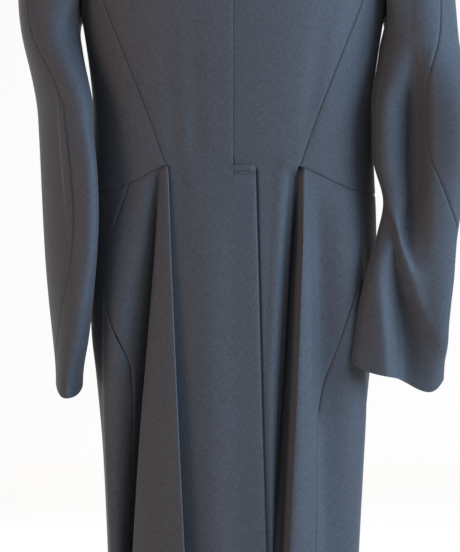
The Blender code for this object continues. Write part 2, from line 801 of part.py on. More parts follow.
def sleeve_point(table, turn, height):
    """A point on a sleeve's section: turn 0 is its outer side, 90 its back."""
    reach = value(table, "reach", height)
    depth = value(table, "depth", height)
    twist = math.radians(value(table, "turn", height))
    across = value(table, "half_across", height) * math.cos(math.radians(turn))
    along = value(table, "half_along", height) * math.sin(math.radians(turn))
    x = reach + across * math.cos(twist) - along * math.sin(twist)
    y = depth + across * math.sin(twist) + along * math.cos(twist)
    return Vector((x, y, height))


def sleeve_line(side, turn):
    """Points down a sleeve at one place round it, from the armhole to the cuff."""
    table = SLEEVE_LEFT if side > 0 else SLEEVE_RIGHT
    start = armhole_point(turn)
    start.x += ARMHOLE_GAP
    end = sleeve_point(table, turn, -0.255)
    reach = (end - start).length
    lean = 0.5 * (1 + math.cos(math.radians(turn)))
    leave = Vector((0.25 + 0.55 * lean, 0, 0.02 * lean - 0.55 * (1 - lean))) * reach * 1.1
    arrive = Vector((0, 0, -1)) * reach
    line = []
    for t in CAP_STEPS:
        point = start * (2 * t ** 3 - 3 * t ** 2 + 1) + leave * (t ** 3 - 2 * t ** 2 + t)
        point += end * (3 * t ** 2 - 2 * t ** 3) + arrive * (t ** 3 - t ** 2)
        line.append(point)
    line += [sleeve_point(table, turn, height) for height in SLEEVE_LEVELS]
    rims = CUFF_LEFT if side > 0 else CUFF_RIGHT
    rim = value(rims, "height", (turn + 90) % 360 - 90)
    for share in CUFF_STEPS:
        line.append(sleeve_point(table, turn, lerp(SLEEVE_LEVELS[-1], rim, share)))
    return [Vector((point.x * side, point.y, point.z)) for point in line]


def sleeve_heights():
    """Heights at which the back seam of a sleeve is read, one for each row of its points."""
    cap = [lerp(-0.10, -0.255, t) for t in CAP_STEPS]
    return cap + SLEEVE_LEVELS + [-0.60, -0.64]


def sleeve_columns(part):
    """Shares of the way from the back seam to the front seam, in step with the armhole's points."""
    head = [ARMHOLE_CORNER * (1 - share) for share in SHOULDER_STEPS]
    if part == "top":
        turns = [turn for turn in head if turn < BACK_SLEEVE_SEAM]
        turns += [-turn for turn in reversed(head[:-1])] + [-ARMHOLE_CORNER]
        first, last = BACK_SLEEVE_SEAM, FRONT_SLEEVE_SEAM
    else:
        turns = sorted(turn for turn in head if turn > BACK_SLEEVE_SEAM)
        turns += [ARMHOLE_CORNER, 130, 142, 154, 167, 180, 193, 206, 218]
        first, last = BACK_SLEEVE_SEAM, FRONT_SLEEVE_SEAM + 360
    return [(turn - first) / (last - first) for turn in [first] + turns + [last]]


def make_sleeve(side, part, material):
    """The top sleeve covers the outside of the arm, the under sleeve the inside."""
    table = SLEEVE_LEFT if side > 0 else SLEEVE_RIGHT
    gap = SLEEVE_SEAM_GAP if part == "under" else -SLEEVE_SEAM_GAP
    grid = []
    for r, height in enumerate(sleeve_heights()):
        seam = value(table, "back_seam", height)
        end = value(table, "front_seam", height) + (360 if part == "under" else 0)
        line = []
        for share in sleeve_columns(part):
            turn = lerp(seam + gap, end - gap, share)
            line.append(sleeve_line(side, turn)[r])
        grid.append(line)
    name = f"sleeve_{part}_" + ("left" if side > 0 else "right")
    return cloth_piece(name, grid, material, inside_out=(side > 0) == (part == "top"))


def make_button(number, x, height, material):
    """A turned coat button with a raised rim, its axis straight out of the front."""
    radius = BUTTON_RADIUS
    thick = BUTTON_THICKNESS
    profile = [
        (0, thick * 0.62),
        (radius * 0.62, thick * 0.62),
        (radius * 0.76, thick),
        (radius * 0.92, thick * 0.96),
        (radius, thick * 0.60),
        (radius * 0.94, thick * 0.12),
        (radius * 0.60, 0),
        (0, 0),
    ]
    mesh = bpy.data.meshes.new("button")
    mesh.from_pydata([(r, 0, z) for r, z in profile], [(i, i + 1) for i in range(len(profile) - 1)], [])
    item = place(f"button_{number:02d}", mesh, material)
    turned = item.modifiers.new("Turned", "SCREW")
    turned.steps = 14
    turned.render_steps = 14
    turned.use_merge_vertices = True
    turned.merge_threshold = 0.00005
    side = -1
    lift = front_lift(side, x) + 0.0006
    seat = body_place(side, x, height, lift, front=True)
    direction = body_place(side, x, height, lift + 0.01, front=True) - seat
    item.location = seat
    item.rotation_mode = "QUATERNION"
    item.rotation_quaternion = direction.to_track_quat("Z", "Y")
    return item


def build():
    clear_scene()
    collection = bpy.data.collections.new("Double-breasted jacket")
    bpy.context.scene.collection.children.link(collection)
    wool = make_material("navy_wool", (0.030, 0.033, 0.045), 0.9, sheen=0.15)
    horn = make_material("dark_button", (0.012, 0.012, 0.015), 0.35)
    for side in (1, -1):
        make_back(side, wool)
        make_side_back(side, wool)
        make_pleat(side, wool)
        make_skirt_side(side, wool)
        make_side_front(side, wool)
        make_front(side, wool)
        make_lapel(side, wool)
        make_sleeve(side, "top", wool)
        make_sleeve(side, "under", wool)
    make_collar(wool)
    number = 0
    for height in BUTTON_HEIGHTS:
        for x in (-BUTTON_REACH, BUTTON_REACH):
            number += 1
            make_button(number, x, height, horn)


build()
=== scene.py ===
# %% [markdown]
# # A long double-breasted jacket in navy wool
# The jacket is filled out, as if someone wore it, and hollow. We see its back: fitted panels
# that meet in princess seams, a centre pleat below the waist and a fold at the foot of each
# princess seam. A jacket is sewn from flat panels, so each panel here is a grid of points on
# one smooth body, made fine enough for rolled seams and soft folds, and then given the
# thickness of cloth. First we load the plain solids, which say where every panel lies.

# %% Load the frame
import math
from collections import namedtuple

import bpy
import numpy as np
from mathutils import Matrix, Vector
from mathutils.bvhtree import BVHTree


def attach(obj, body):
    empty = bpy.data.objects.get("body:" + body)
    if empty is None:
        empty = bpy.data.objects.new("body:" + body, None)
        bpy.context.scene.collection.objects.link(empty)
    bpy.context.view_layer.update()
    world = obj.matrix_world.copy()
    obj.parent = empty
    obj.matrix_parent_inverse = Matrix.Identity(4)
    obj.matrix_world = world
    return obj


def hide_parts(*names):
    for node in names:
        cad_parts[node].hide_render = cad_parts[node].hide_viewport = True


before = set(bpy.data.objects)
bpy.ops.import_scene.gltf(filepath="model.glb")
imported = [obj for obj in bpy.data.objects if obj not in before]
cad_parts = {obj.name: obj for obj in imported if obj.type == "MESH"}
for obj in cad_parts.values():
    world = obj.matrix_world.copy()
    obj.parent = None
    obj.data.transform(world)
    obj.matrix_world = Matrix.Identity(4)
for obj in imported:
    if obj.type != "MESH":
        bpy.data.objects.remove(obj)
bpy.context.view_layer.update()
print("nodes to dress:", len(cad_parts))

# %% [markdown]
# ## The camera
# The photograph is taken level and from a little way off, so upright lines stay upright. The
# focal length comes from the width that the picture spans at the distance of the back.

# %% Camera
def into_scene(name, data):
    item = bpy.data.objects.new(name, data)
    bpy.context.scene.collection.objects.link(item)
    return item


CAMERA_PLACE = (0.0033, 1.70, -0.515)
SPAN = 0.506
DISTANCE = 1.6
SENSOR = 36.0

lens = bpy.data.cameras.new("camera")
lens.sensor_fit = "HORIZONTAL"
lens.sensor_width = SENSOR
lens.lens = SENSOR * DISTANCE / SPAN
camera = into_scene("camera", lens)
camera.location = CAMERA_PLACE
camera.rotation_euler = (math.radians(90), 0, math.radians(180))
bpy.context.scene.camera = camera
print("focal length in mm:", round(lens.lens, 1))

# %% [markdown]
# ## Reading a table
# A cutter keeps a garment as a short table of measurements and draws a smooth line through
# them. These helpers do the same. They name a table's columns, draw a curve that passes through
# every row, and make a soft step from nothing to everything and a soft hump.


# %% Smooth tables
def table(columns):
    """A kind of table. Called with rows of numbers, it gives each row its named columns."""
    row = namedtuple("row", columns)
    return lambda *rows: [row(*numbers) for numbers in rows]


def through(keys, values, key):
    """Values at any key, on a smooth curve through the given ones."""
    count = len(keys)
    low = np.maximum(np.arange(count) - 1, 0)
    high = np.minimum(np.arange(count) + 1, count - 1)
    flat = (-1,) + (1,) * (values.ndim - 1)
    slopes = (values[high] - values[low]) / (keys[high] - keys[low]).reshape(flat)
    key = np.clip(key, keys[0], keys[-1])
    i = np.clip(np.searchsorted(keys, key, side="right") - 1, 0, count - 2)
    span = keys[i + 1] - keys[i]
    t = (key - keys[i]) / span
    if values.ndim > 1:
        t = t[..., None]
        span = span[..., None]
    plain = values[i] * (1 + 2 * t) * (1 - t) ** 2 + values[i + 1] * t ** 2 * (3 - 2 * t)
    return plain + span * (slopes[i] * t * (1 - t) ** 2 - slopes[i + 1] * t ** 2 * (1 - t))


def read(table, column, key):
    """A column of a table of named rows at any key."""
    rows = sorted(table, key=lambda row: row[0])
    keys = np.array([row[0] for row in rows], float)
    values = np.array([getattr(row, column) for row in rows], float)
    return through(keys, values, np.asarray(key, float))


def read_all(table, key):
    """Every column of a table but its first, at any key."""
    return [read(table, column, key) for column in table[0]._fields[1:]]


def step(low, high, key):
    t = np.clip((key - low) / (high - low), 0, 1)
    return t * t * (3 - 2 * t)


def bell(distance):
    """A soft hump: 1 at no distance, 0 from a distance of 1."""
    return 0.5 + 0.5 * np.cos(np.pi * np.clip(distance, -1, 1))


def mix(a, b, t):
    return a + (b - a) * t


def unit(vectors):
    return vectors / np.maximum(np.linalg.norm(vectors, axis=-1, keepdims=True), 1e-12)


# %% [markdown]
# ## The body under the cloth
# The panels lie on level sections of a general figure, each a rounded oval with its own
# width and depth. Angles run round the body from the centre back, 0, through the side, 90,
# to the centre front, 180. Above the chest the sections close over the shoulders.

# %% Measurements of the body
Sections = table("height half_width back_depth front_depth")
BODY = Sections(
    (-0.885, 0.143, 0.121, 0.127), (-0.715, 0.151, 0.116, 0.122), (-0.627, 0.159, 0.112, 0.119),
    (-0.584, 0.164, 0.11, 0.117), (-0.5, 0.167, 0.105, 0.114), (-0.44, 0.1665, 0.099, 0.108),
    (-0.395, 0.1645, 0.094, 0.104), (-0.345, 0.163, 0.094, 0.108), (-0.3, 0.164, 0.098, 0.118),
    (-0.215, 0.176, 0.105, 0.126), (-0.17, 0.187, 0.105, 0.125), (-0.11, 0.212, 0.102, 0.118),
    (-0.03, 0.232, 0.1, 0.112))
CHEST = -0.215
ROUNDNESS = 2.4
SHOULDER_ROUNDNESS = 2.5
NECK_HALF_WIDTH = 0.072
NECK_BACK_DEPTH = 0.053
SHOULDER_TIP = 0.190
SHOULDER_SLOPE = 0.37
NECKLINE = -0.018
UNDER_SHOULDER = -0.01
HALF_DEGREE = 0.5
SMALL_RISE = 0.002


# %% Points of the body
def signed_power(number, power):
    return np.sign(number) * np.abs(number) ** power


def shoulder_height(x):
    return -SHOULDER_SLOPE * np.maximum(np.abs(x) - NECK_HALF_WIDTH, 0)


def half_width(height):
    return read(BODY, "half_width", height)


def middle_depth(behind, height):
    """How deep the plain body is in its middle, behind or before the side seams."""
    return np.where(behind, read(BODY, "back_depth", height), read(BODY, "front_depth", height))


def rounded(share, power):
    """How far an oval still reaches one way, at a share of its reach the other way."""
    return (1 - share ** power) ** (1 / power)


def body(angle, height):
    """Points of the plain body on the wearer's left."""
    angle, height = np.broadcast_arrays(np.asarray(angle, float), np.asarray(height, float))
    sine, cosine = np.sin(np.radians(angle)), np.cos(np.radians(angle))
    depth = middle_depth(cosine > 0, height)
    x = half_width(height) * signed_power(sine, 2 / ROUNDNESS)
    rise = np.clip((height - CHEST) / (shoulder_height(x) - CHEST), 0, 1)
    depth = depth * signed_power(cosine, 2 / ROUNDNESS) * rounded(rise, SHOULDER_ROUNDNESS)
    return np.stack([x, depth, height], -1)


def outward(angle, height):
    """The direction straight out of the plain body."""
    level = np.minimum(height, UNDER_SHOULDER)
    around = body(angle + HALF_DEGREE, height) - body(angle - HALF_DEGREE, height)
    up = body(angle, level + SMALL_RISE) - body(angle, level - SMALL_RISE)
    return unit(np.cross(up, around))


def angle_at(x, height, front=False):
    """The angle at which the body reaches a distance from the middle."""
    share = np.minimum(np.abs(x) / half_width(height), 1)
    angle = np.copysign(np.degrees(np.arcsin(share ** (ROUNDNESS / 2))), x)
    return 180 - angle if front else angle


def mirror(points, side):
    return points * np.array([side, 1, 1])


print("width at the waist in mm:", round(2000 * float(half_width(-0.345))))

# %% [markdown]
# ## Where the seams run
# The waist seam crosses only the side panels and dips towards the sides. The princess seams
# and the curved seams of the skirt are given as a distance from the middle at each height,
# read off the photograph for the back and drawn to match for the front.

# %% Seams
SEAM_GAP = 0.0001
HEM = -0.885
SKIRT_TOP = -0.445
TYPICAL_ANGLE = {False: 30, True: 140}
Levels = table("angle height")
WAIST_SEAM = Levels(
    (23, -0.393), (38, -0.4085), (52, -0.4178), (66, -0.42), (90, -0.421), (120, -0.416),
    (143, -0.41))
ARMHOLE_FOOT = Levels(
    (56, -0.17), (72, -0.193), (90, -0.213), (106, -0.197), (126, -0.17))
Seams = table("height reach")
BACK_PRINCESS = Seams(
    (-0.393, 0.0745), (-0.328, 0.098), (-0.26, 0.125), (-0.215, 0.143), (-0.17, 0.158))
FRONT_PRINCESS = Seams(
    (-0.885, 0.112), (-0.6, 0.11), (-0.41, 0.1), (-0.3, 0.116), (-0.215, 0.142), (-0.17, 0.156))
GORE_SEAM = {
    1: Seams(
        (-0.885, 0.125), (-0.703, 0.117), (-0.62, 0.116), (-0.589, 0.125), (-0.553, 0.1355),
        (-0.523, 0.14), (-0.471, 0.1345), (-0.415, 0.118)),
    -1: Seams(
        (-0.885, 0.088), (-0.703, 0.095), (-0.638, 0.1017), (-0.61, 0.1096), (-0.57, 0.121),
        (-0.5206, 0.1345), (-0.481, 0.139), (-0.415, 0.141)),
}
Edges = table("share reach")
ARMHOLE = {
    False: Edges((0, 0.158), (0.2, 0.156), (0.5, 0.161), (0.8, 0.175), (1, SHOULDER_TIP)),
    True: Edges((0, 0.156), (0.2, 0.153), (0.5, 0.157), (0.8, 0.172), (1, SHOULDER_TIP)),
}


# %% Places on the panels
def row_height(v, angle):
    """Height of a row: v is 0 at the hem, 1 below the waist seam, 2 on it, 3 at the armhole."""
    waist = read(WAIST_SEAM, "height", angle)
    foot = read(ARMHOLE_FOOT, "height", angle)
    above = np.where(v <= 2, mix(SKIRT_TOP, waist, v - 1), mix(waist, foot, v - 2))
    return np.where(v <= 1, mix(HEM, SKIRT_TOP, v), above)


def height_on(reach, v, front=False):
    """Where a row meets a line that reaches some distance from the middle."""
    height = row_height(v, TYPICAL_ANGLE[front])
    for _ in range(6):
        height = row_height(v, angle_at(reach(height), height, front))
    return height


def lifted(side, angle, height, lift):
    """Points at a distance off the plain body."""
    lift = np.broadcast_to(np.asarray(lift, float), angle.shape)
    return mirror(body(angle, height) + outward(angle, height) * lift[..., None], side)


def at_reach(side, x, v, lift, front=False):
    """Points at a distance from the middle, on rows of the cloth, lifted off the body."""
    height = height_on(lambda level: x, v, front)
    return lifted(side, angle_at(x, height, front), height, lift)


def princess(table, offset, front):
    return lambda height: angle_at(read(table, "reach", height) + offset, height, front)


# %% Places on the shoulders
def shoulder_point(x, turn, front):
    """Points on the way over the shoulder: turn 0 is at the chest, 90 on the shoulder seam."""
    rise = np.sin(np.radians(turn)) ** (2 / SHOULDER_ROUNDNESS)
    height = mix(CHEST, shoulder_height(x), rise)
    back = angle_at(x, height)
    return body(np.where(front, 180 - back, back), height)


def shoulder_turn(x, height):
    rise = (height - CHEST) / (shoulder_height(x) - CHEST)
    return np.degrees(np.arcsin(np.minimum(rise, 1) ** (SHOULDER_ROUNDNESS / 2)))


def neck_turn(x):
    """The turn over the shoulder at the back neckline."""
    inside = np.minimum(np.abs(x) / NECK_HALF_WIDTH, 1)
    share = np.minimum(np.abs(x) / half_width(NECKLINE), 1)
    full = read(BODY, "back_depth", NECKLINE) * rounded(share, ROUNDNESS)
    kept = NECK_BACK_DEPTH * np.sqrt(1 - inside ** 2) / full
    return np.degrees(np.arccos(kept ** (SHOULDER_ROUNDNESS / 2)))


# %% [markdown]
# ## From a few points to a cloth
# Each panel starts as rows of control points. A fine grid is drawn through them, with extra
# lines close to its seams. There the cloth dips, because a pressed seam pulls both edges down
# to the thread between them: that thin groove is what the eye reads as a seam. Solidify then
# gives the cloth its thickness on the inside.

# %% Grids of cloth
WALL = 0.0012
LINE_SPACING = 0.0042
NEAR_EDGE = np.array([0.0, 0.0004, 0.0009, 0.0016, 0.0027])
SEAM_DIP = 0.0009
SEAM_REACH = 0.0038
THREAD_DIP = 0.0004
THREAD_REACH = 0.0013
EDGE_PULL = 6
TINY = 1e-6


def shares(count):
    """Even shares from 0 to 1, one for each column."""
    return np.linspace(0, 1, count)[None, :]


def along(points, axis):
    """Length along the rows (1) or up the columns (0) of a grid, from its first line."""
    steps = np.linalg.norm(np.diff(points, axis=axis), axis=2)
    first = np.zeros((points.shape[0], 1) if axis else (1, points.shape[1]))
    return np.concatenate([first, np.cumsum(steps, axis=axis)], axis=axis)


def refine(control, first=True, last=True, spacing=LINE_SPACING):
    """A fine grid through rows of control points, with close lines beside its seams.

    Each gap between two control points is cut into the same number of parts in every row, so
    the grid's lines run along the folds and don't wander across them.
    """
    length = along(control, 1)
    gaps = np.median(np.diff(length, axis=1), axis=0)
    counts = np.maximum(np.round(gaps / spacing), 1).astype(int)
    parts = [k + np.arange(1, count + 1) / count for k, count in enumerate(counts)]
    index = np.concatenate([[0.0]] + parts)
    knots = np.arange(control.shape[1])
    typical = np.interp(index, knots, np.median(length, axis=0))
    start = NEAR_EDGE if first else np.array([0.0])
    end = NEAR_EDGE if last else np.array([0.0])
    inside = (typical > start[-1] / 2 + TINY) & (typical < typical[-1] - end[-1] / 2 - TINY)
    grid = []
    for line, places in zip(control, length):
        total = places[-1]
        inner = np.interp(index[inside], knots, places)
        share = inner / total
        inner = inner + start[-1] * (1 - share) ** EDGE_PULL - end[-1] * share ** EDGE_PULL
        wanted = np.concatenate([start, inner, total - end[::-1]])
        grid.append(through(places, line, wanted))
    return np.array(grid)


# %% Which way is out, and how a seam dips
def grid_normals(points, inside_out):
    across = np.gradient(points, axis=1)
    up = np.gradient(points, axis=0)
    return unit(np.cross(across, up)) * (1 if inside_out else -1)


def seam_dip(distance):
    soft = SEAM_DIP * np.clip(1 - distance / SEAM_REACH, 0, 1) ** 2
    return soft + THREAD_DIP * np.clip(1 - distance / THREAD_REACH, 0, 1) ** 2


# %% [markdown]
# ## Soft folds
# A long fold is a trough or a ridge that runs down the cloth. At each height it has a centre,
# how far it fades out to each side, and how deep it is; a negative depth makes it a ridge.
# The folds are listed by the part that they lie in and by the side that they face. Those behind
# are the photograph's own, and similar ones are put in front, where it can't see.

# %% Folds of the body and the sleeves
Folds = table("height centre left right depth sharp")
FOLDS = {
    "body_back": [
        Folds(
            (-0.395, 0.0665, 0.01, 0.012, 0, 0), (-0.375, 0.067, 0.01, 0.013, 0.0013, 0),
            (-0.33, 0.069, 0.011, 0.014, 0.0018, 0), (-0.25, 0.076, 0.014, 0.016, 0.0013, 0),
            (-0.18, 0.085, 0.016, 0.018, 0, 0)),
        Folds(
            (-0.41, 0.042, 0.012, 0.014, 0, 0), (-0.37, 0.041, 0.012, 0.015, 0.0013, 0),
            (-0.31, 0.043, 0.013, 0.016, 0.0015, 0), (-0.2, 0.048, 0.016, 0.018, 0, 0)),
        Folds(
            (-0.885, 0.02, 0.03, 0.034, -0.0034, 0), (-0.64, 0.022, 0.028, 0.032, -0.0026, 0),
            (-0.5, 0.024, 0.026, 0.03, -0.0018, 0), (-0.415, 0.023, 0.022, 0.026, 0, 0)),
        Folds(
            (-0.885, -0.106, 0.016, 0.026, 0.0056, 0.6), (-0.703, -0.1, 0.015, 0.026, 0.0056, 0.6),
            (-0.601, -0.097, 0.015, 0.026, 0.0056, 0.6), (-0.541, -0.096, 0.014, 0.025, 0.005, 0.6),
            (-0.486, -0.095, 0.014, 0.024, 0.0038, 0.6), (-0.44, -0.094, 0.013, 0.022, 0.002, 0.6),
            (-0.412, -0.0935, 0.012, 0.02, 0, 0.6)),
        Folds(
            (-0.885, -0.142, 0.042, 0.022, -0.01, 0), (-0.703, -0.139, 0.041, 0.022, -0.0115, 0),
            (-0.601, -0.135, 0.038, 0.022, -0.011, 0), (-0.5, -0.132, 0.036, 0.022, -0.0085, 0),
            (-0.44, -0.13, 0.033, 0.02, -0.004, 0), (-0.412, -0.129, 0.03, 0.018, 0, 0)),
        Folds(
            (-0.885, 0.14, 0.014, 0.034, -0.005, 0), (-0.7, 0.137, 0.014, 0.034, -0.0072, 0),
            (-0.56, 0.135, 0.014, 0.034, -0.008, 0), (-0.48, 0.132, 0.014, 0.032, -0.005, 0),
            (-0.425, 0.128, 0.014, 0.028, 0, 0)),
        Folds(
            (-0.39, -0.08, 0.014, 0.014, 0, 0), (-0.34, -0.086, 0.015, 0.016, 0.0014, 0),
            (-0.26, -0.096, 0.016, 0.018, 0.0016, 0), (-0.19, -0.11, 0.018, 0.02, 0, 0)),
    ],
    "body_front": [
        Folds(
            (-0.885, 0.09, 0.022, 0.02, 0.0042, 0), (-0.7, 0.089, 0.02, 0.018, 0.0026, 0),
            (-0.585, 0.088, 0.016, 0.015, 0, 0)),
        Folds(
            (-0.885, -0.096, 0.02, 0.022, 0.0046, 0), (-0.69, -0.093, 0.018, 0.02, 0.003, 0),
            (-0.57, -0.092, 0.015, 0.016, 0, 0)),
        Folds(
            (-0.885, 0.006, 0.03, 0.034, -0.0036, 0), (-0.72, 0.004, 0.026, 0.03, -0.002, 0),
            (-0.6, 0.002, 0.02, 0.024, 0, 0)),
    ],
    "sleeve_right_back": [
        Folds(
            (-0.255, -0.201, 0.026, 0.022, 0, 0.6), (-0.3, -0.198, 0.026, 0.024, 0.016, 0.4),
            (-0.322, -0.196, 0.026, 0.026, 0.024, 0.4), (-0.43, -0.194, 0.024, 0.028, 0.024, 0.4),
            (-0.466, -0.195, 0.018, 0.028, 0.018, 0.4), (-0.492, -0.1975, 0.012, 0.024, 0.008, 0.6),
            (-0.515, -0.204, 0.01, 0.02, 0, 0.6)),
        Folds(
            (-0.29, -0.169, 0.011, 0.016, 0, 0.1), (-0.33, -0.169, 0.011, 0.016, -0.007, 0.1),
            (-0.42, -0.17, 0.011, 0.016, -0.007, 0.1), (-0.45, -0.1765, 0.009, 0.014, -0.0045, 0.1),
            (-0.48, -0.184, 0.009, 0.012, 0, 0.1)),
        Folds(
            (-0.44, -0.246, 0.04, 0.012, 0, 0.3), (-0.48, -0.242, 0.036, 0.012, -0.0055, 0.3),
            (-0.52, -0.238, 0.032, 0.01, -0.008, 0.2), (-0.57, -0.233, 0.022, 0.01, -0.007, 0.2),
            (-0.62, -0.238, 0.012, 0.008, 0, 0.2)),
        Folds(
            (-0.415, -0.161, 0.012, 0.01, 0, 0.3), (-0.445, -0.17, 0.016, 0.011, 0.0045, 0.3),
            (-0.47, -0.1755, 0.022, 0.011, 0.009, 0.4), (-0.49, -0.1795, 0.027, 0.012, 0.0135, 0.4),
            (-0.525, -0.1862, 0.03, 0.015, 0.0195, 0.4),
            (-0.555, -0.1912, 0.031, 0.022, 0.023, 0.3),
            (-0.585, -0.195, 0.031, 0.035, 0.0245, 0.2),
            (-0.61, -0.1965, 0.031, 0.043, 0.0235, 0.1),
            (-0.645, -0.1975, 0.031, 0.05, 0.019, 0.1)),
        Folds(
            (-0.52, -0.165, 0.02, 0.012, 0, 0), (-0.56, -0.166, 0.024, 0.016, -0.003, 0),
            (-0.61, -0.169, 0.028, 0.018, -0.004, 0), (-0.65, -0.17, 0.026, 0.016, -0.003, 0)),
    ],
    "sleeve_right_front": [
        Folds(
            (-0.28, -0.225, 0.024, 0.02, 0, 0.2), (-0.36, -0.22, 0.024, 0.022, 0.005, 0.3),
            (-0.44, -0.214, 0.022, 0.02, 0.006, 0.4), (-0.52, -0.2, 0.02, 0.02, 0.003, 0.3),
            (-0.57, -0.195, 0.02, 0.02, 0, 0.2)),
    ],
    "sleeve_left_back": [
        Folds(
            (-0.29, 0.195, 0.007, 0.005, 0, 0), (-0.327, 0.1905, 0.007, 0.005, -0.0024, 0),
            (-0.411, 0.1837, 0.007, 0.005, -0.0026, 0), (-0.455, 0.1798, 0.006, 0.005, -0.0014, 0),
            (-0.48, 0.178, 0.006, 0.005, 0, 0)),
        Folds(
            (-0.3, 0.156, 0.016, 0.02, 0, 0), (-0.37, 0.154, 0.016, 0.02, -0.0022, 0),
            (-0.54, 0.15, 0.016, 0.02, -0.0024, 0), (-0.6, 0.156, 0.014, 0.018, 0, 0)),
    ],
    "sleeve_left_front": [
        Folds(
            (-0.3, 0.205, 0.014, 0.016, 0, 0.2), (-0.38, 0.2, 0.014, 0.016, 0.0035, 0.3),
            (-0.45, 0.193, 0.014, 0.016, 0.0042, 0.4), (-0.54, 0.188, 0.014, 0.014, 0, 0.2)),
    ],
}


# %% How far a fold moves the cloth
def fold_depth(points, folds):
    """How far the folds move the cloth inwards at each point."""
    depth = np.zeros(points.shape[:-1])
    height = points[..., 2]
    for fold in folds:
        centre, left, right, most, sharp = read_all(fold, height)
        across = points[..., 0] - centre
        share = np.clip(np.abs(across) / np.where(across > 0, left, right), 0, 1)
        depth += most * mix(bell(share), (1 - share) ** 2, sharp)
    return depth


# %% [markdown]
# ## A fine wool
# The cloth is a fine worsted, woven plain and finished with a soft, short nap, so it is matt
# and takes light like velvet does at its edges. Its threads are about 0.4 mm apart, too fine
# to show from here, so they are drawn 1.3 mm apart, as a faint unevenness along both of the
# cloth's directions. The pattern follows each panel's own measurements in metres.


# %% Material helpers
def linear(code):
    """A hex colour as linear red, green, blue and alpha."""
    parts = [int(code[i:i + 2], 16) / 255 for i in (1, 3, 5)]
    return (*(c / 12.92 if c <= 0.04045 else ((c + 0.055) / 1.055) ** 2.4 for c in parts), 1.0)


def add(tree, kind, links=(), **settings):
    """A node with its settings, its inputs' values and links: (input, value or output)."""
    node = tree.nodes.new(kind)
    for name, setting in settings.items():
        setattr(node, name, setting)
    for name, source in links:
        if isinstance(source, bpy.types.NodeSocket):
            tree.links.new(source, node.inputs[name])
        else:
            node.inputs[name].default_value = source
    return node


def settle(node, settings):
    """Sets a node's inputs by name."""
    for name, setting in settings.items():
        node.inputs[name].default_value = setting


def new_material(name):
    material = bpy.data.materials.new(name)
    material.use_nodes = True
    return material, material.node_tree, material.node_tree.nodes["Principled BSDF"]


def colour_by(tree, shader, amount, *stops):
    """Colours a material between two hex colours, each at its own amount."""
    ramp = add(tree, "ShaderNodeValToRGB", [("Fac", amount)])
    for element, (position, code) in zip(ramp.color_ramp.elements, stops):
        element.position = position
        element.color = linear(code)
    tree.links.new(ramp.outputs["Color"], shader.inputs["Base Color"])


# %% Fine worsted wool
THREAD = 0.0013
THREAD_STRETCH = 0.22

wool, tree, shader = new_material("worsted_wool_navy")
place = add(tree, "ShaderNodeUVMap", uv_map="cloth")
threads = []
for scale in ((1 / THREAD, THREAD_STRETCH / THREAD, 1), (THREAD_STRETCH / THREAD, 1 / THREAD, 1)):
    stretched = add(tree, "ShaderNodeMapping", [("Vector", place.outputs["UV"]), ("Scale", scale)])
    noise = [("Vector", stretched.outputs[0]), ("Scale", 1.0), ("Detail", 2.0)]
    threads.append(add(tree, "ShaderNodeTexNoise", noise))
warp, weft = threads
weave = add(tree, "ShaderNodeMix", [(0, 0.5), (2, warp.outputs["Fac"]), (3, weft.outputs["Fac"])])
blotches = [("Vector", place.outputs["UV"]), ("Scale", 55.0), ("Detail", 2.0)]
cloud = add(tree, "ShaderNodeTexNoise", blotches)
tone = add(tree, "ShaderNodeMix", [(0, 0.10), (2, weave.outputs[0]), (3, cloud.outputs["Fac"])])
colour_by(tree, shader, tone.outputs[0], (0.34, "#242529"), (0.66, "#383a40"))
relief = [("Height", weave.outputs[0]), ("Strength", 0.35), ("Distance", 0.0004)]
bump = add(tree, "ShaderNodeBump", relief)
tree.links.new(bump.outputs["Normal"], shader.inputs["Normal"])
settle(shader, {"Roughness": 0.74, "IOR": 1.5, "Specular IOR Level": 0.5, "Sheen Weight": 0.08,
                "Sheen Roughness": 0.45})
print("materials:", [material.name for material in bpy.data.materials if "wool" in material.name])


# %% [markdown]
# ## Making one panel
# These functions do a tailor's three steps: they press the panel's seams down, lay in the
# folds, and give the cloth its thickness. They also measure the panel, because a sheet of
# cloth must come out the size that it was cut, and say which plain solid it stands for.

# %% Panels
PIECES = {}
SEAM_SIDES = ("first", "last", "bottom", "top")
TURNED_IN = 0.0026
FACING = (0.1, 0.6)
SHARP_ANGLE = 55


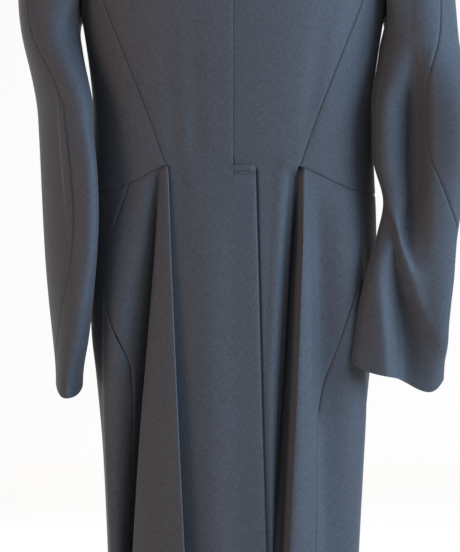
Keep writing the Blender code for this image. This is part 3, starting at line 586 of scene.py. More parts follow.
def cloth_panel(node, points, inside_out=False, seams=(), folds="", extra=0.0, opening=None,
                turned=(), level=0, tuck=0.0):
    """A panel of wool from its grid of points. No cloth lies above and before the opening.

    At its seams and its turned sides the cloth bends inwards, as sewn cloth does, and from its
    first side it may reach on under its neighbour. A sleeve is level below one of its rows;
    every other panel is measured from its first row.
    """
    normals = grid_normals(points, inside_out)
    width = along(points, 1)
    length = along(points, 0)
    distance = {
        "first": width,
        "last": width[:, -1:] - width,
        "bottom": length,
        "top": length[-1:] - length,
    }
    dips = [np.zeros(points.shape[:-1])] + [seam_dip(distance[side]) for side in seams]
    depth = np.maximum.reduce(dips) + extra
    for face, sign in (("_back", 1), ("_front", -1)):
        if folds:
            facing = step(*FACING, sign * normals[..., 1])
            depth = depth + fold_depth(points, FOLDS[folds + face]) * facing
    if level:
        above = points[level, :, 2] + length[level] - length[:level]
        up = np.concatenate([above, points[level:, :, 2]])
    else:
        up = points[:1, :, 2] + length
    pairs = (("bottom", "top"), ("first", "last"))
    ends = [[int(side in (*seams, *turned)) for side in pair] for pair in pairs]
    depth = np.pad(depth, ends, mode="edge") + np.pad(0 * depth, ends, constant_values=TURNED_IN)
    width, up = (np.pad(values, ends, mode="edge") for values in (width, up))
    points_as_cut = points
    points, normals = (np.pad(values, ends + [[0, 0]], mode="edge") for values in (points, normals))
    moved = points - normals * depth[..., None]
    if tuck:
        outwards = unit(points[:, 1:2] - points[:, 2:3])
        moved = np.concatenate([moved[:, :1] + outwards * tuck, moved], 1)
        width, up = (np.pad(values, ((0, 0), (1, 0)), mode="edge") for values in (width, up))
    rows, columns = moved.shape[:2]
    number = np.arange(rows * columns).reshape(rows, columns)
    quads = np.stack([number[:-1, :-1], number[1:, :-1], number[1:, 1:], number[:-1, 1:]], -1)
    kept = np.ones(quads.shape[:2], bool)
    if opening:
        kept[opening[0] + ends[0][0]:, :opening[1] + ends[1][0]] = False
    for row in (0, 1):
        for column in (0, 1):
            if ends[0][row] and ends[1][column]:
                kept[-row, -column] = False
    if tuck:
        kept[0, :2] = False
    quads = quads[kept]
    if inside_out:
        quads = quads[:, ::-1]
    piece = build_cloth(f"{node}_wool", moved.reshape(-1, 3), quads, width.ravel(), up.ravel())
    finish_cloth(piece, node, points_as_cut)


# %% The mesh of a panel
def build_cloth(name, points, quads, across, up):
    mesh = bpy.data.meshes.new(name)
    mesh.from_pydata(points.tolist(), [], quads.tolist())
    layer = mesh.uv_layers.new(name="cloth")
    corner = np.empty(len(mesh.loops), np.int32)
    mesh.loops.foreach_get("vertex_index", corner)
    places = np.stack([across[corner], up[corner]], -1)
    layer.data.foreach_set("uv", places.astype(np.float32).ravel())
    mesh.materials.append(wool)
    raw = into_scene(name, mesh)
    wall = raw.modifiers.new("Wall", "SOLIDIFY")
    wall.thickness = WALL
    wall.offset = -1
    piece = plain(raw, name)
    piece.data.set_sharp_from_angle(angle=math.radians(SHARP_ANGLE))
    return piece


def plain(raw, name):
    """Turns an object with modifiers into a plain mesh at the origin."""
    bpy.context.view_layer.update()
    graph = bpy.context.evaluated_depsgraph_get()
    mesh = bpy.data.meshes.new_from_object(raw.evaluated_get(graph))
    bpy.data.objects.remove(raw, do_unlink=True)
    mesh.name = name
    mesh.shade_smooth()
    return into_scene(name, mesh)


def triangles_in(piece):
    return sum(len(face.vertices) - 2 for face in piece.data.polygons)


# %% What a panel stands for, and its cut
def finish_cloth(piece, node, points):
    """Says which solid the panel stands for and what size it was cut."""
    width = float(along(points, 1)[:, -1].max())
    length = float(along(points, 0)[-1].max())
    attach(piece, "root")
    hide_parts(node)
    PIECES[node] = piece
    sides = f"{1000 * width:.0f} x {1000 * length:.0f} mm"
    print(node, "cut:", sides, "with", len(piece.data.polygons), "faces")


# %% [markdown]
# ## The centre back
# Each half of the back is one long panel from hem to neck, with no seam at the waist. Above
# the waist the halves meet in the centre back seam. Below it the left half has a pleat
# allowance: it folds under at an edge that lies over the right half, and is held by a short
# row of stitches across its head. So the left panel is drawn in two parts, the folded lap
# and the panel itself.

# %% Rows of the back
LAP_HEAD = -0.393
SKIRT_ROWS = np.linspace(0, 1, 110)
UNDER_WAIST = np.concatenate([np.linspace(1, 1.55, 7)[1:], np.linspace(1.55, 2, 36)[1:]])
BODICE_ROWS = np.linspace(2, 3, 50)[1:]
SHOULDER_ROWS = np.linspace(0, 1, 34)[1:, None]

# %% Pleats and lap
Pleats = table("height edge far_edge rise valley")
PLEAT = {
    1: Pleats(
        (-0.885, 0.0455, 0.116, 0.0198, 0.0245), (-0.703, 0.0555, 0.1045, 0.015, 0.02),
        (-0.601, 0.061, 0.096, 0.0115, 0.015), (-0.504, 0.066, 0.088, 0.008, 0.01),
        (-0.407, 0.0707, 0.0815, 0.0042, 0.003), (-0.393, 0.072, 0.08, 0.0034, 0.0006)),
    -1: Pleats(
        (-0.885, 0.046, 0.135, 0.0165, 0.0235), (-0.703, 0.056, 0.124, 0.013, 0.019),
        (-0.601, 0.0615, 0.115, 0.01, 0.015), (-0.504, 0.066, 0.106, 0.0075, 0.011),
        (-0.407, 0.0722, 0.09, 0.002, 0.0065), (-0.393, 0.0745, 0.086, 0.0005, 0.005)),
}
PLEAT_DIRECTION = np.array([0.17, 0.985, 0])
PLEAT_UNDERLAY = 0.012
HEAD_UNDERLAY = 0.002
UNDERLAY_GROWTH = 0.31
SLIT_WIDTH = 0.0035
SLIT_FLOOR = 0.0024
SLIT_DEEPER = 0.024
SLIT_TUCK = 0.008
VALLEY_SHOULDER = 0.3
VALLEY_WIDTH = 0.012
VALLEY_WIDENS = 1.4
VALLEY_LIMIT = 0.92
VALLEY_TRENCH = 0.95
TRENCH_WIDTH = 0.011
VALLEY_SINK = 1.15
ROLL_START = 0.003
ROLL_POWERS = (0.42, 2.5)
ROLL_SCALE = 3.272
LAP = Seams((-0.885, 0.0375), (-0.703, 0.032), (-0.52, 0.0275), (-0.393, 0.0242))
LAP_AIR = 0.0004
LAP_BEYOND = 0.002
LAP_LIFT = 0.0017
LAP_SINK = 0.0016
LAP_FADE = (0.062, 0.040)
LAP_CLEAR = 0.0012
HEAD_FADE = 0.014


# %% The valley and the roll beside a pleat
def valley(side, x, height):
    """How far the skirt beside a pleat stands in or out, past the pleat's far edge."""
    pleat = PLEAT[side]
    far_edge = read(pleat, "far_edge", height)
    if side > 0:
        depth = read(pleat, "valley", height)
        floor = far_edge + VALLEY_SHOULDER * depth
        limit = VALLEY_LIMIT * half_width(height) - floor
        width = np.minimum(VALLEY_WIDTH + VALLEY_WIDENS * depth, limit)
        share = np.clip((x - floor) / width, 0, 1)
        lift = -VALLEY_SINK * depth * (1 - share) ** 2 * (1 + 2 * share)
        lift = lift - VALLEY_TRENCH * depth * np.clip(1 - (x - floor) / TRENCH_WIDTH, 0, 1) ** 2
    else:
        edge = read(pleat, "edge", height) + ROLL_START
        share = np.clip((x - edge) / (far_edge - edge), 0, 1)
        steep, slow = ROLL_POWERS
        lift = read(pleat, "rise", height) * ROLL_SCALE * share ** steep * (1 - share) ** slow
    return np.where(height > pleat[-1].height, 0, lift)


def cloth(side, angle, height):
    """Points of the outer face, with the pleat's valley or roll in it."""
    points = body(angle, height)
    behind = (height < LAP_HEAD) & (angle > 0) & (angle < 90)
    lift = np.where(behind, valley(side, points[..., 0], height), 0)
    return mirror(points + PLEAT_DIRECTION * lift[..., None], side)


def pleat_point(side, x, v, lift):
    """Points of a pleat at a distance from the middle, standing out or sunk in."""
    height = height_on(lambda level: x, v)
    lift = np.broadcast_to(np.asarray(lift, float), height.shape)
    return mirror(body(angle_at(x, height), height) + PLEAT_DIRECTION * lift[..., None], side)


# %% Points of a centre back panel
def back_edge(side, height):
    """Outer edge of a centre back panel: the princess seam, then the hidden edge at the pleat."""
    seam = read(BACK_PRINCESS, "reach", height) - SEAM_GAP / 2
    pleat = read(PLEAT[side], "edge", height)
    if side > 0:
        growth = np.clip((LAP_HEAD - height) / UNDERLAY_GROWTH, 0, 1)
        pleat = pleat + mix(HEAD_UNDERLAY, PLEAT_UNDERLAY, growth)
    else:
        pleat = pleat - SLIT_WIDTH / 2
    return np.where(height >= LAP_HEAD, seam, pleat)


def back_rows(side, v, u, slack=0.0):
    """Control points of a centre back panel, from the middle to its outer edge."""
    edge = back_edge(side, height_on(lambda level: back_edge(side, level), v)) - slack
    x = mix(SEAM_GAP / 2, edge, u)
    share = step(LAP_HEAD + HEAD_FADE, LAP_HEAD, row_height(v, 0)) * step(*LAP_FADE, x)
    return at_reach(side, x, v, (LAP_LIFT if side > 0 else -LAP_SINK) * share)


def upper_back(side, u, share):
    """Control points of a centre back panel above the foot of the armhole."""
    x = mix(SEAM_GAP / 2, read(ARMHOLE[False], "reach", share) - SEAM_GAP / 2, u)
    turn = mix(shoulder_turn(x, ARMHOLE_FOOT[0].height), neck_turn(x), share)
    points = shoulder_point(x, turn, False)
    points[..., 1] += SEAM_GAP / 2
    return mirror(points, side)


def lap_reach(v):
    return read(LAP, "reach", row_height(v, 0))


def fold_arc(centre_x, centre_lift, radius, start, end, count):
    """Points round a folded edge, as distances from the middle and lifts off the body."""
    turns = np.radians(np.linspace(start, end, count))
    return centre_x + radius * np.cos(turns), centre_lift + radius * np.sin(turns)


# %% The folded lap
HEADER_ROW = -0.4010
HEADER_GROOVE = 0.0017
GROOVE_REACH = 0.0024
GROOVE_START = (0.0004, 0.002)
GROOVE_END = (0.003, -0.001)
HEADER_PUFF = 0.0011
PUFF_REACH = 0.0044
BACK_COLUMNS = shares(15)
CENTRE_SEAM = 0.5
PANEL_SEAMS = ("last", "top")
HEM_ONLY = ("bottom",)


def lap_rows(v):
    """Control points of the folded lap: the layer turned under, the fold, the upper layer."""
    reach = lap_reach(v)
    radius = (LAP_LIFT + LAP_SINK - LAP_AIR) / 2
    arc_x, arc_lift = fold_arc(0, LAP_LIFT - radius, radius, start=270, end=90, count=7)
    under = LAP_LIFT - 2 * radius
    fold = -reach + radius + arc_x[None, :]
    x = [-LAP_BEYOND + 0 * reach, -reach / 2, fold, -reach / 2, -reach / 5]
    lift = np.concatenate([[under, under], arc_lift, [LAP_LIFT, LAP_LIFT]])[None, :]
    return at_reach(1, np.concatenate(x, 1), v, lift)


# %% What the stitches and the seam press in
def header_groove(points):
    """The row of stitches across the head of the lap presses a groove into it."""
    x, height = points[..., 0], points[..., 2]
    reach = read(LAP, "reach", height)
    low, high = GROOVE_START
    inside = step(-reach + low, -reach + high, x) * step(*GROOVE_END, x)
    groove = HEADER_GROOVE * bell((height - HEADER_ROW) / GROOVE_REACH)
    return (groove - HEADER_PUFF * bell((height - HEADER_ROW - PUFF_REACH) / PUFF_REACH)) * inside


def centre_dip(grid):
    """The centre back seam, pressed into the inner edge of a half above the head of the lap."""
    above = np.arange(len(grid)) >= len(skirt_v) - 1
    return CENTRE_SEAM * seam_dip(along(grid, 1)) * above[:, None]


# %% Left half of the back
skirt_v = np.concatenate([SKIRT_ROWS, UNDER_WAIST])[:, None]
body_v = np.concatenate([skirt_v, BODICE_ROWS[:, None]])
under_rows = refine(lap_rows(skirt_v), False, False)
lower = back_rows(1, body_v, BACK_COLUMNS)
upper = upper_back(1, BACK_COLUMNS, SHOULDER_ROWS)
main = refine(np.concatenate([lower, upper]))
above = under_rows[-1][None] + (main[len(under_rows):, :1] - main[len(under_rows) - 1, :1])
back_left = np.concatenate([np.concatenate([under_rows, above]), main], 1)
flat = np.zeros((len(main), under_rows.shape[1]))
extra = np.concatenate([flat, centre_dip(main)], 1) + header_groove(back_left)
opening = (len(under_rows) - 1, under_rows.shape[1])
cloth_panel("back_left", back_left, False, PANEL_SEAMS, "body", extra, opening, HEM_ONLY)

# %% The right half's outer edge, rolled into the slit of its pleat
CURL_ANGLE = 20
CURL_CLEAR = 0.0045
CURL_SLACK = 0.024
CURL_X = np.array([-0.0185, -0.0140, -0.0105, -0.0078, -0.0046, 0.0015])
CURL_SHARE = np.array([0.02, 0.08, 0.20, 0.42, 0.76, 1.0])
SLIT_SINK = 1.25
LAP_SHADOW = 0.0018
LAP_SHADOW_REACH = 0.0028
LAP_SHADOW_FADE = 0.006
LAP_SHADOW_POWER = 1.4
CENTRE_TUCK = 0.004


def curl_room(v):
    """The width that is free for the curl, between the lap's fold and the slit."""
    edge = back_edge(-1, height_on(lambda level: back_edge(-1, level), v))
    return edge, np.minimum(edge - lap_reach(v) - CURL_CLEAR, CURL_SLACK)


def curled_rows(v):
    """The last control points of the right back: flat in the bodice, curled in below it."""
    edge, slack = curl_room(v)
    height = row_height(v, CURL_ANGLE)
    curl = step(LAP_HEAD, LAP_HEAD - HEAD_FADE, height)
    flat = edge - slack * (1 - np.arange(1, 7)[None, :] / 6)
    x = mix(flat, edge + CURL_X[None, :] * np.where(CURL_X < 0, slack / CURL_SLACK, 1), curl)
    sink = -SLIT_SINK * read(PLEAT[-1], "valley", height) * CURL_SHARE[None, :] * curl
    return pleat_point(-1, x, v, sink)


# %% The dip beside the lap
def lap_shadow(points):
    """The right half dips beside the lap's fold, which is why the fold casts a narrow shadow."""
    height = points[..., 2]
    away = -points[..., 0] - read(LAP, "reach", height) - LAP_CLEAR
    below = step(LAP_HEAD, LAP_HEAD - LAP_SHADOW_FADE, height)
    share = np.clip(1 - np.abs(away) / LAP_SHADOW_REACH, 0, 1)
    return LAP_SHADOW * share ** LAP_SHADOW_POWER * below


# %% Right half of the back
edge, slack = curl_room(body_v)
split = (lap_reach(body_v) + LAP_CLEAR) / (edge - slack)
shoulder_split = (LAP[-1].reach + LAP_CLEAR) / read(ARMHOLE[False], "reach", SHOULDER_ROWS)
under_lap = shares(6)
beside_lap = shares(12)
lower = back_rows(-1, body_v, under_lap * split, slack)
upper = upper_back(-1, under_lap * shoulder_split, SHOULDER_ROWS)
covered = refine(np.concatenate([lower, upper]))
lower = back_rows(-1, body_v, mix(split, 1, beside_lap), slack)
lower = np.concatenate([lower, curled_rows(body_v)], 1)
beside_lap = mix(shoulder_split, 1, shares(lower.shape[1]))
upper = upper_back(-1, beside_lap, SHOULDER_ROWS)
back_right = np.concatenate([covered, refine(np.concatenate([lower, upper]))[:, 1:]], 1)
extra = centre_dip(back_right) + lap_shadow(back_right)
cloth_panel("back_right", back_right, True, PANEL_SEAMS, "body", extra, turned=("bottom", "first"),
            tuck=CENTRE_TUCK)

# %% [markdown]
# ## The pleats
# At the foot of the left princess seam the gore's edge is pressed into a sharp fold that
# stands over the centre panel; from it the cloth slopes down into a deep valley. On the right
# the two edges turn into a slit instead, and the gore rolls out of it in a soft round ridge.
# Both are drawn as one line across each row, from the hidden edge out to the curved seam.

# %% From a pleat to its curved seam
PRESSED_RADIUS = WALL + 0.00025
PLEAT_SPACING = {1: 0.0024, -1: 0.0022}
PLEAT_ANGLE = 25
SEAM_ANGLE = 40
UNDERLAY_LIFT = 0.0004
VALLEY_END = 0.001
PLEAT_HEAD = 0.035
PLEAT_V = [SKIRT_ROWS, np.linspace(1, 1.9, 9)[1:], 2 - NEAR_EDGE[::-1] / PLEAT_HEAD]
PLEAT_V = np.concatenate(PLEAT_V)[:, None]


def gore_seam(side, offset):
    return princess(GORE_SEAM[side], offset, False)


def out_to_seam(side, v, start, u):
    """Control points on the body from a distance from the middle out to the curved seam."""
    level = row_height(v, SEAM_ANGLE)
    for _ in range(5):
        angle = mix(angle_at(start, level), gore_seam(side, -SEAM_GAP / 2)(level), u)
        level = row_height(v, angle)
    return cloth(side, angle, level)


# %% The left pleat
def left_pleat_rows(v):
    height = row_height(v, PLEAT_ANGLE)
    edge, far_edge, rise, depth = read_all(PLEAT[1], height)
    hidden = back_edge(1, height) + SEAM_GAP
    arc_x, arc_lift = fold_arc(0, -PRESSED_RADIUS, PRESSED_RADIUS, start=262, end=78, count=9)
    face = np.array([0.15, 0.4, 0.65, 0.86])[None, :]
    start = edge + 2 * PRESSED_RADIUS
    floor = far_edge + VALLEY_SHOULDER * depth
    x = [hidden, mix(hidden, edge + PRESSED_RADIUS, 0.5), edge + PRESSED_RADIUS + arc_x[None, :],
         mix(start, far_edge, face), far_edge, mix(far_edge, floor, 0.2), mix(far_edge, floor, 0.5)]
    lift = [UNDERLAY_LIFT + 0 * rise, mix(UNDERLAY_LIFT, rise - 2 * PRESSED_RADIUS, 0.45),
            rise + arc_lift[None, :], rise * (1 - face) ** 0.85, -0.15 * depth, -0.80 * depth,
            -1.70 * depth]
    folded = pleat_point(1, np.concatenate(x, 1), v, np.concatenate(lift, 1))
    return np.concatenate([folded, out_to_seam(1, v, floor + VALLEY_END, shares(12) ** 1.3)], 1)


pleat_left = refine(left_pleat_rows(PLEAT_V), False, True, PLEAT_SPACING[1])
cloth_panel("pleat_left", pleat_left, False, PANEL_SEAMS, "body", turned=HEM_ONLY)


# %% The right pleat
SLIT_X = np.array([-0.0015, 0.0002, 0.0014, 0.0025, 0.0036])
SLIT_SHARE = np.array([0, 0.06, 0.50, 0.78, 0.95])
SLIT_FLOOR_SHARE = np.array([0, 0.60, 1, 1, 1])
SLIT_TUCK_SHARE = np.array([1, 0, 0, 0, 0])
SLIT_OPENS = (-0.40, -0.49)
SLIT_END = 0.0046


def right_pleat_rows(v):
    height = row_height(v, PLEAT_ANGLE)
    edge = read(PLEAT[-1], "edge", height) + SLIT_WIDTH / 2
    depth = read(PLEAT[-1], "valley", height)
    open_up = step(*SLIT_OPENS, height)
    floor = SLIT_FLOOR * open_up
    x = edge + SLIT_X + floor * SLIT_FLOOR_SHARE
    x = x - SLIT_TUCK * open_up * SLIT_TUCK_SHARE
    rise = valley(-1, x, height + 0 * x)
    lift = mix(-SLIT_SINK * depth - SLIT_DEEPER * open_up, rise, SLIT_SHARE[None, :])
    folded = pleat_point(-1, x, v, lift)
    rolled = out_to_seam(-1, v, edge + floor + SLIT_END, shares(20) ** 1.5)
    return np.concatenate([folded, rolled], 1)


pleat_right = refine(right_pleat_rows(PLEAT_V), False, True, PLEAT_SPACING[-1])
cloth_panel("pleat_right", pleat_right, True, PANEL_SEAMS, "body", turned=HEM_ONLY)

# %% [markdown]
# ## The side panels
# Four panels close the body between the back and the fronts: in the bodice one behind and one
# before the side seam, and in the skirt one wide gore from the curved seam to the front.

# %% Panels between two seams
BODICE_SIDE = 0.21
SIDE_ANGLE = 60
SIDE_GAP = 0.02


def between(side, v, first, last, columns):
    """Control points of a plain panel between two seams, each an angle at a height."""
    u = shares(columns)
    height = row_height(v, SIDE_ANGLE)
    for _ in range(5):
        angle = mix(first(height), last(height), u)
        height = row_height(v, angle)
    return cloth(side, angle, height)


def front_seam(offset):
    return princess(FRONT_PRINCESS, offset, True)


def side_seam(offset):
    return lambda height: 90 + offset + 0 * height


close_rows = NEAR_EDGE / BODICE_SIDE
BODICE_V = [2 + close_rows, np.linspace(2.02, 2.97, 50), 3 - close_rows[::-1]]
BODICE_V = np.concatenate(BODICE_V)[:, None]
SIDES = {1: "left", -1: "right"}
before = front_seam(SEAM_GAP / 2)
behind = princess(BACK_PRINCESS, SEAM_GAP / 2, False)
for side, word in SIDES.items():
    grid = refine(between(side, PLEAT_V, gore_seam(side, SEAM_GAP / 2), before, 26))
    cloth_panel(f"skirt_side_{word}", grid, side < 0, ("first", *PANEL_SEAMS), "body",
                turned=HEM_ONLY)
    grid = refine(between(side, BODICE_V, behind, side_seam(-SIDE_GAP), 14))
    cloth_panel(f"side_back_{word}", grid, side < 0, SEAM_SIDES, "body")
    grid = refine(between(side, BODICE_V, side_seam(SIDE_GAP), before, 12))
    cloth_panel(f"side_front_{word}", grid, side < 0, SEAM_SIDES, "body")

# %% [markdown]
# ## The fronts
# The photograph doesn't show the front, so it is finished plainly as a double-breasted one:
# the right front laps over the left by a hand's breadth, the roll line runs up to the neck,
# and the revers turn back along it to a peak.

# %% Sizes of the front
OVERLAP = 0.078
BREAK_HEIGHT = -0.345
FRONT_SHIFT = 0.0011
SHIFT_FADE = (0.105, 0.080)
LAPEL_WIDTH = 0.080
LAPEL_LEAST = 0.0012
LAPEL_INSET = 0.0015
LAPEL_START = 0.03
LAPEL_FOOT = {1: -0.158, -1: -0.343}
LAPEL_CUT = {1: 0.058, -1: 0.0}
GORGE_HEIGHT = -0.078
PEAK_LIFT = 0.030
LAPEL_ROLL = 0.0026
LAPEL_EDGE = 0.0016
LAPEL_GAP = 0.0009


# %% Shape of a front
def inner_edge(height):
    """Inner edge of a front: the overlap's edge, then the roll line up to the neck."""
    share = np.clip((height - BREAK_HEIGHT) / -BREAK_HEIGHT, 0, 1)
    return mix(-OVERLAP, NECK_HALF_WIDTH, share)


def front_lift(side, x):
    return -side * FRONT_SHIFT * step(*SHIFT_FADE, x)


def front_rows(side, v, u):
    height = height_on(lambda level: read(FRONT_PRINCESS, "reach", level), v, True)
    x = mix(read(FRONT_PRINCESS, "reach", height) - SEAM_GAP / 2, inner_edge(height), u)
    return at_reach(side, x, v, front_lift(side, x), True)


def upper_front(side, u, share):
    start = inner_edge(ARMHOLE_FOOT[-1].height)
    edge = read(ARMHOLE[True], "reach", share) - SEAM_GAP / 2
    x = mix(edge, mix(start, NECK_HALF_WIDTH, share ** 0.8), u)
    points = shoulder_point(x, mix(shoulder_turn(x, ARMHOLE_FOOT[-1].height), 90, share), True)
    points[..., 1] -= front_lift(side, x) * (1 - share) + SEAM_GAP / 2
    return mirror(points, side)


# %% Shape of a lapel
def lapel_rows(side):
    share = 1 - (1 - np.linspace(0, 1, 50)[:, None]) ** 1.2
    across = shares(14)
    level = mix(LAPEL_FOOT[side] - LAPEL_CUT[side] * across ** 0.75, GORGE_HEIGHT, share)
    height = level + PEAK_LIFT * across * share
    width = LAPEL_WIDTH * step(BREAK_HEIGHT - LAPEL_START, GORGE_HEIGHT, level) + LAPEL_LEAST
    x = inner_edge(level) + width * across + LAPEL_INSET
    lift = front_lift(side, x) + WALL + LAPEL_GAP
    lift = lift + LAPEL_ROLL * (1 - across) ** 2 + LAPEL_EDGE * across ** 3
    return lifted(side, angle_at(x, height, True), height, lift)


# %% Both fronts and both lapels
u = shares(20)
for side, word in SIDES.items():
    upper = upper_front(side, u, SHOULDER_ROWS)
    grid = refine(np.concatenate([front_rows(side, body_v, u), upper]), True, False)
    cloth_panel(f"front_{word}", grid, side < 0, ("first", "top"), "body", turned=HEM_ONLY)
    grid = refine(lapel_rows(side), False, False)
    cloth_panel(f"lapel_{word}", grid, side > 0, (), "body")

# %% [markdown]
# ## The collar
# One strip that stands up from the neckline, folds over at its top and falls to the
# shoulders. Each line across it is a short straight stand and then one soft curve.

# %% Collar
STAND = 0.024
BACK_STAND = 0.036
FRONT_STAND = 0.008
NECK_FRONT_DEPTH = 0.075
FALL_FRONT_DEPTH = 0.070
ABOVE_GORGE = 0.006
STAND_LEAN = 0.004
STAND_CURVE = 0.001
FALL_NARROWS = 0.004
COLLAR_TURN = (0.006, -0.002)
COLLAR_BULGE = (0.016, -0.004)
COLLAR_SIDE_REACH = 0.116
COLLAR_BACK_REACH = 0.083
COLLAR_GAP = 0.0016
BACK_SHARE = 0.62
COLLAR_SPACING = 0.0032


def surface_height(x, y):
    """Height of the shoulders over a spot in plan."""
    height = shoulder_height(x)
    for _ in range(5):
        share = np.minimum(np.abs(x) / half_width(height), 1)
        depth = middle_depth(y >= 0, height) * rounded(share, ROUNDNESS)
        rise = rounded(np.minimum(np.abs(y / depth), 1), SHOULDER_ROUNDNESS)
        height = mix(CHEST, shoulder_height(x), rise)
    return height


# %% Shape of the collar
def collar_rows(count):
    place = np.linspace(-1, 1, count)
    share, side = np.abs(place), np.where(place >= 0, 1.0, -1.0)
    turn = np.radians(90 * np.minimum(share / BACK_SHARE, 1))
    forward = np.clip((share - BACK_SHARE) / (1 - BACK_SHARE), 0, 1)
    before = share > BACK_SHARE
    level = mix(0, GORGE_HEIGHT + ABOVE_GORGE, forward)
    neck_x = np.where(before, inner_edge(level), NECK_HALF_WIDTH * np.sin(turn))
    neck_y = np.where(before, -NECK_FRONT_DEPTH * forward ** 0.8, NECK_BACK_DEPTH * np.cos(turn))
    narrowed = COLLAR_SIDE_REACH - FALL_NARROWS * forward
    fall_x = np.where(before, narrowed, COLLAR_SIDE_REACH * np.sin(turn))
    fall_y = np.where(before, -FALL_FRONT_DEPTH * forward ** 0.9, COLLAR_BACK_REACH * np.cos(turn))
    stand_behind = mix(BACK_STAND, STAND, np.minimum(share / BACK_SHARE, 1))
    stand = np.where(before, mix(STAND, FRONT_STAND, forward), stand_behind)
    neck = np.stack([neck_x, neck_y, surface_height(neck_x, neck_y) + COLLAR_GAP], -1)
    fall = np.stack([fall_x, fall_y, surface_height(fall_x, fall_y) + WALL + COLLAR_GAP], -1)
    plan = unit((fall - neck) * np.array([1, 1, 0]))
    rise = stand[:, None] * np.array([0, 0, 1])
    top = neck + plan * STAND_LEAN + rise
    turned, bulge = (top + plan * out + np.array([0, 0, up])
                     for out, up in (COLLAR_TURN, COLLAR_BULGE))
    curve = plan * STAND_CURVE
    lines = [neck - curve, neck + rise * 0.3, neck + curve + rise * 0.6, top, turned]
    lines += [mix(mix(turned, bulge, t), mix(bulge, fall, t), t) for t in (0.25, 0.5, 0.75, 1)]
    points = np.stack(lines, 1)
    points[..., 0] *= side[:, None]
    return points


cloth_panel("collar", refine(collar_rows(120), False, False, COLLAR_SPACING), True)

# %% [markdown]
# ## The sleeves
# A tailored sleeve has two pieces, a wide top sleeve and a narrow under sleeve, joined along
# the back of the arm and again inside it. Each section is an oval with its own place, size
# and turn, so the sleeve bends at the elbow and its flat side can face the camera. Between
# the armhole and the arm the cloth runs over the sleeve head on one smooth curve.

# %% Sleeve measurements
Sleeves = table("height reach depth half_across half_along turn back_seam front_seam")
SLEEVE = {
    1: Sleeves(
        (-0.675, 0.187, 0.034, 0.015, 0.0585, 3, 0, -132),
        (-0.63, 0.187, 0.034, 0.0155, 0.0585, 4, 8, -132),
        (-0.587, 0.185, 0.042, 0.0195, 0.06, 12, 25, -132),
        (-0.543, 0.1842, 0.049, 0.0222, 0.061, 18, 40, -132),
        (-0.5035, 0.1841, 0.05, 0.0232, 0.062, 23, 49, -132),
        (-0.453, 0.1843, 0.05, 0.024, 0.063, 26.5, 51, -132),
        (-0.4, 0.1868, 0.046, 0.024, 0.064, 27, 48, -132),
        (-0.35, 0.191, 0.039, 0.025, 0.065, 24, 50, -132),
        (-0.3175, 0.193, 0.034, 0.028, 0.066, 21, 52, -132),
        (-0.255, 0.207, 0.016, 0.033, 0.066, 9, 47, -132)),
    -1: Sleeves(
        (-0.675, 0.182, 0.077, 0.024, 0.055, 76, -82, -184),
        (-0.61, 0.184, 0.0765, 0.025, 0.055, 76, -82, -184),
        (-0.586, 0.1876, 0.074, 0.027, 0.055, 74, -80, -182),
        (-0.553, 0.1922, 0.069, 0.029, 0.056, 69, -76, -178),
        (-0.504, 0.2012, 0.058, 0.0335, 0.059, 52, -62, -166),
        (-0.4675, 0.209, 0.05, 0.035, 0.059, 43, -26, -152),
        (-0.429, 0.215, 0.044, 0.0385, 0.0605, 33, 19, -140),
        (-0.382, 0.212, 0.038, 0.048, 0.061, 37, 42, -134),
        (-0.3206, 0.2125, 0.035, 0.049, 0.06, 38, 49, -132),
        (-0.255, 0.214, 0.02, 0.044, 0.062, 18, 47, -132)),
}
Rims = table("angle height")
CUFF = {
    1: Rims(
        (-90, -0.632), (0, -0.634), (60, -0.648), (90, -0.6505), (135, -0.648), (180, -0.641),
        (270, -0.632)),
    -1: Rims(
        (-90, -0.622), (-45, -0.645), (0, -0.63), (45, -0.621), (90, -0.61), (180, -0.608),
        (270, -0.622)),
}
ARMHOLE_GAP = 0.0002
ARMHOLE_CORNER = 118
SLEEVE_SEAM_GAP = 0.1
CAP_TOP = -0.10
CAP_END = -0.255
CAP_NEXT = 0.004
CAP_LENGTH = 0.2
HEAD_OUT = 0.25
HEAD_SPREAD = 0.55
HEAD_RISE = 0.02
HEAD_DROP = 0.55
HEAD_PULL = 1.1
CUFF_START = -0.575
CUFF_END = -0.64
SLEEVE_SPACING = 0.0020
CAP_ROWS = 30


# %% The outer side of the right sleeve, which hangs turned towards the back
Turns = table("height rise")
TURNED_OUT = Turns(
    (-0.66, 0), (-0.62, 0.006), (-0.56, 0.016), (-0.5, 0.03), (-0.43, 0.046), (-0.34, 0.046),
    (-0.255, 0.024))
TURNED_FROM = 0.196
TURNED_WIDTH = 0.064
TURNED_LIMIT = 1.2
TURNED_POWER = 1.4
TURNED_SIDE = (-30, 12)


def turned_out(x, y, reach, depth, height):
    """How far the outer side stands towards the back, more and more up to its far edge."""
    away = np.degrees(np.arctan2(y - depth, x - reach))
    share = np.clip((x - TURNED_FROM) / TURNED_WIDTH, 0, TURNED_LIMIT)
    return read(TURNED_OUT, "rise", height) * share ** TURNED_POWER * step(*TURNED_SIDE, away)


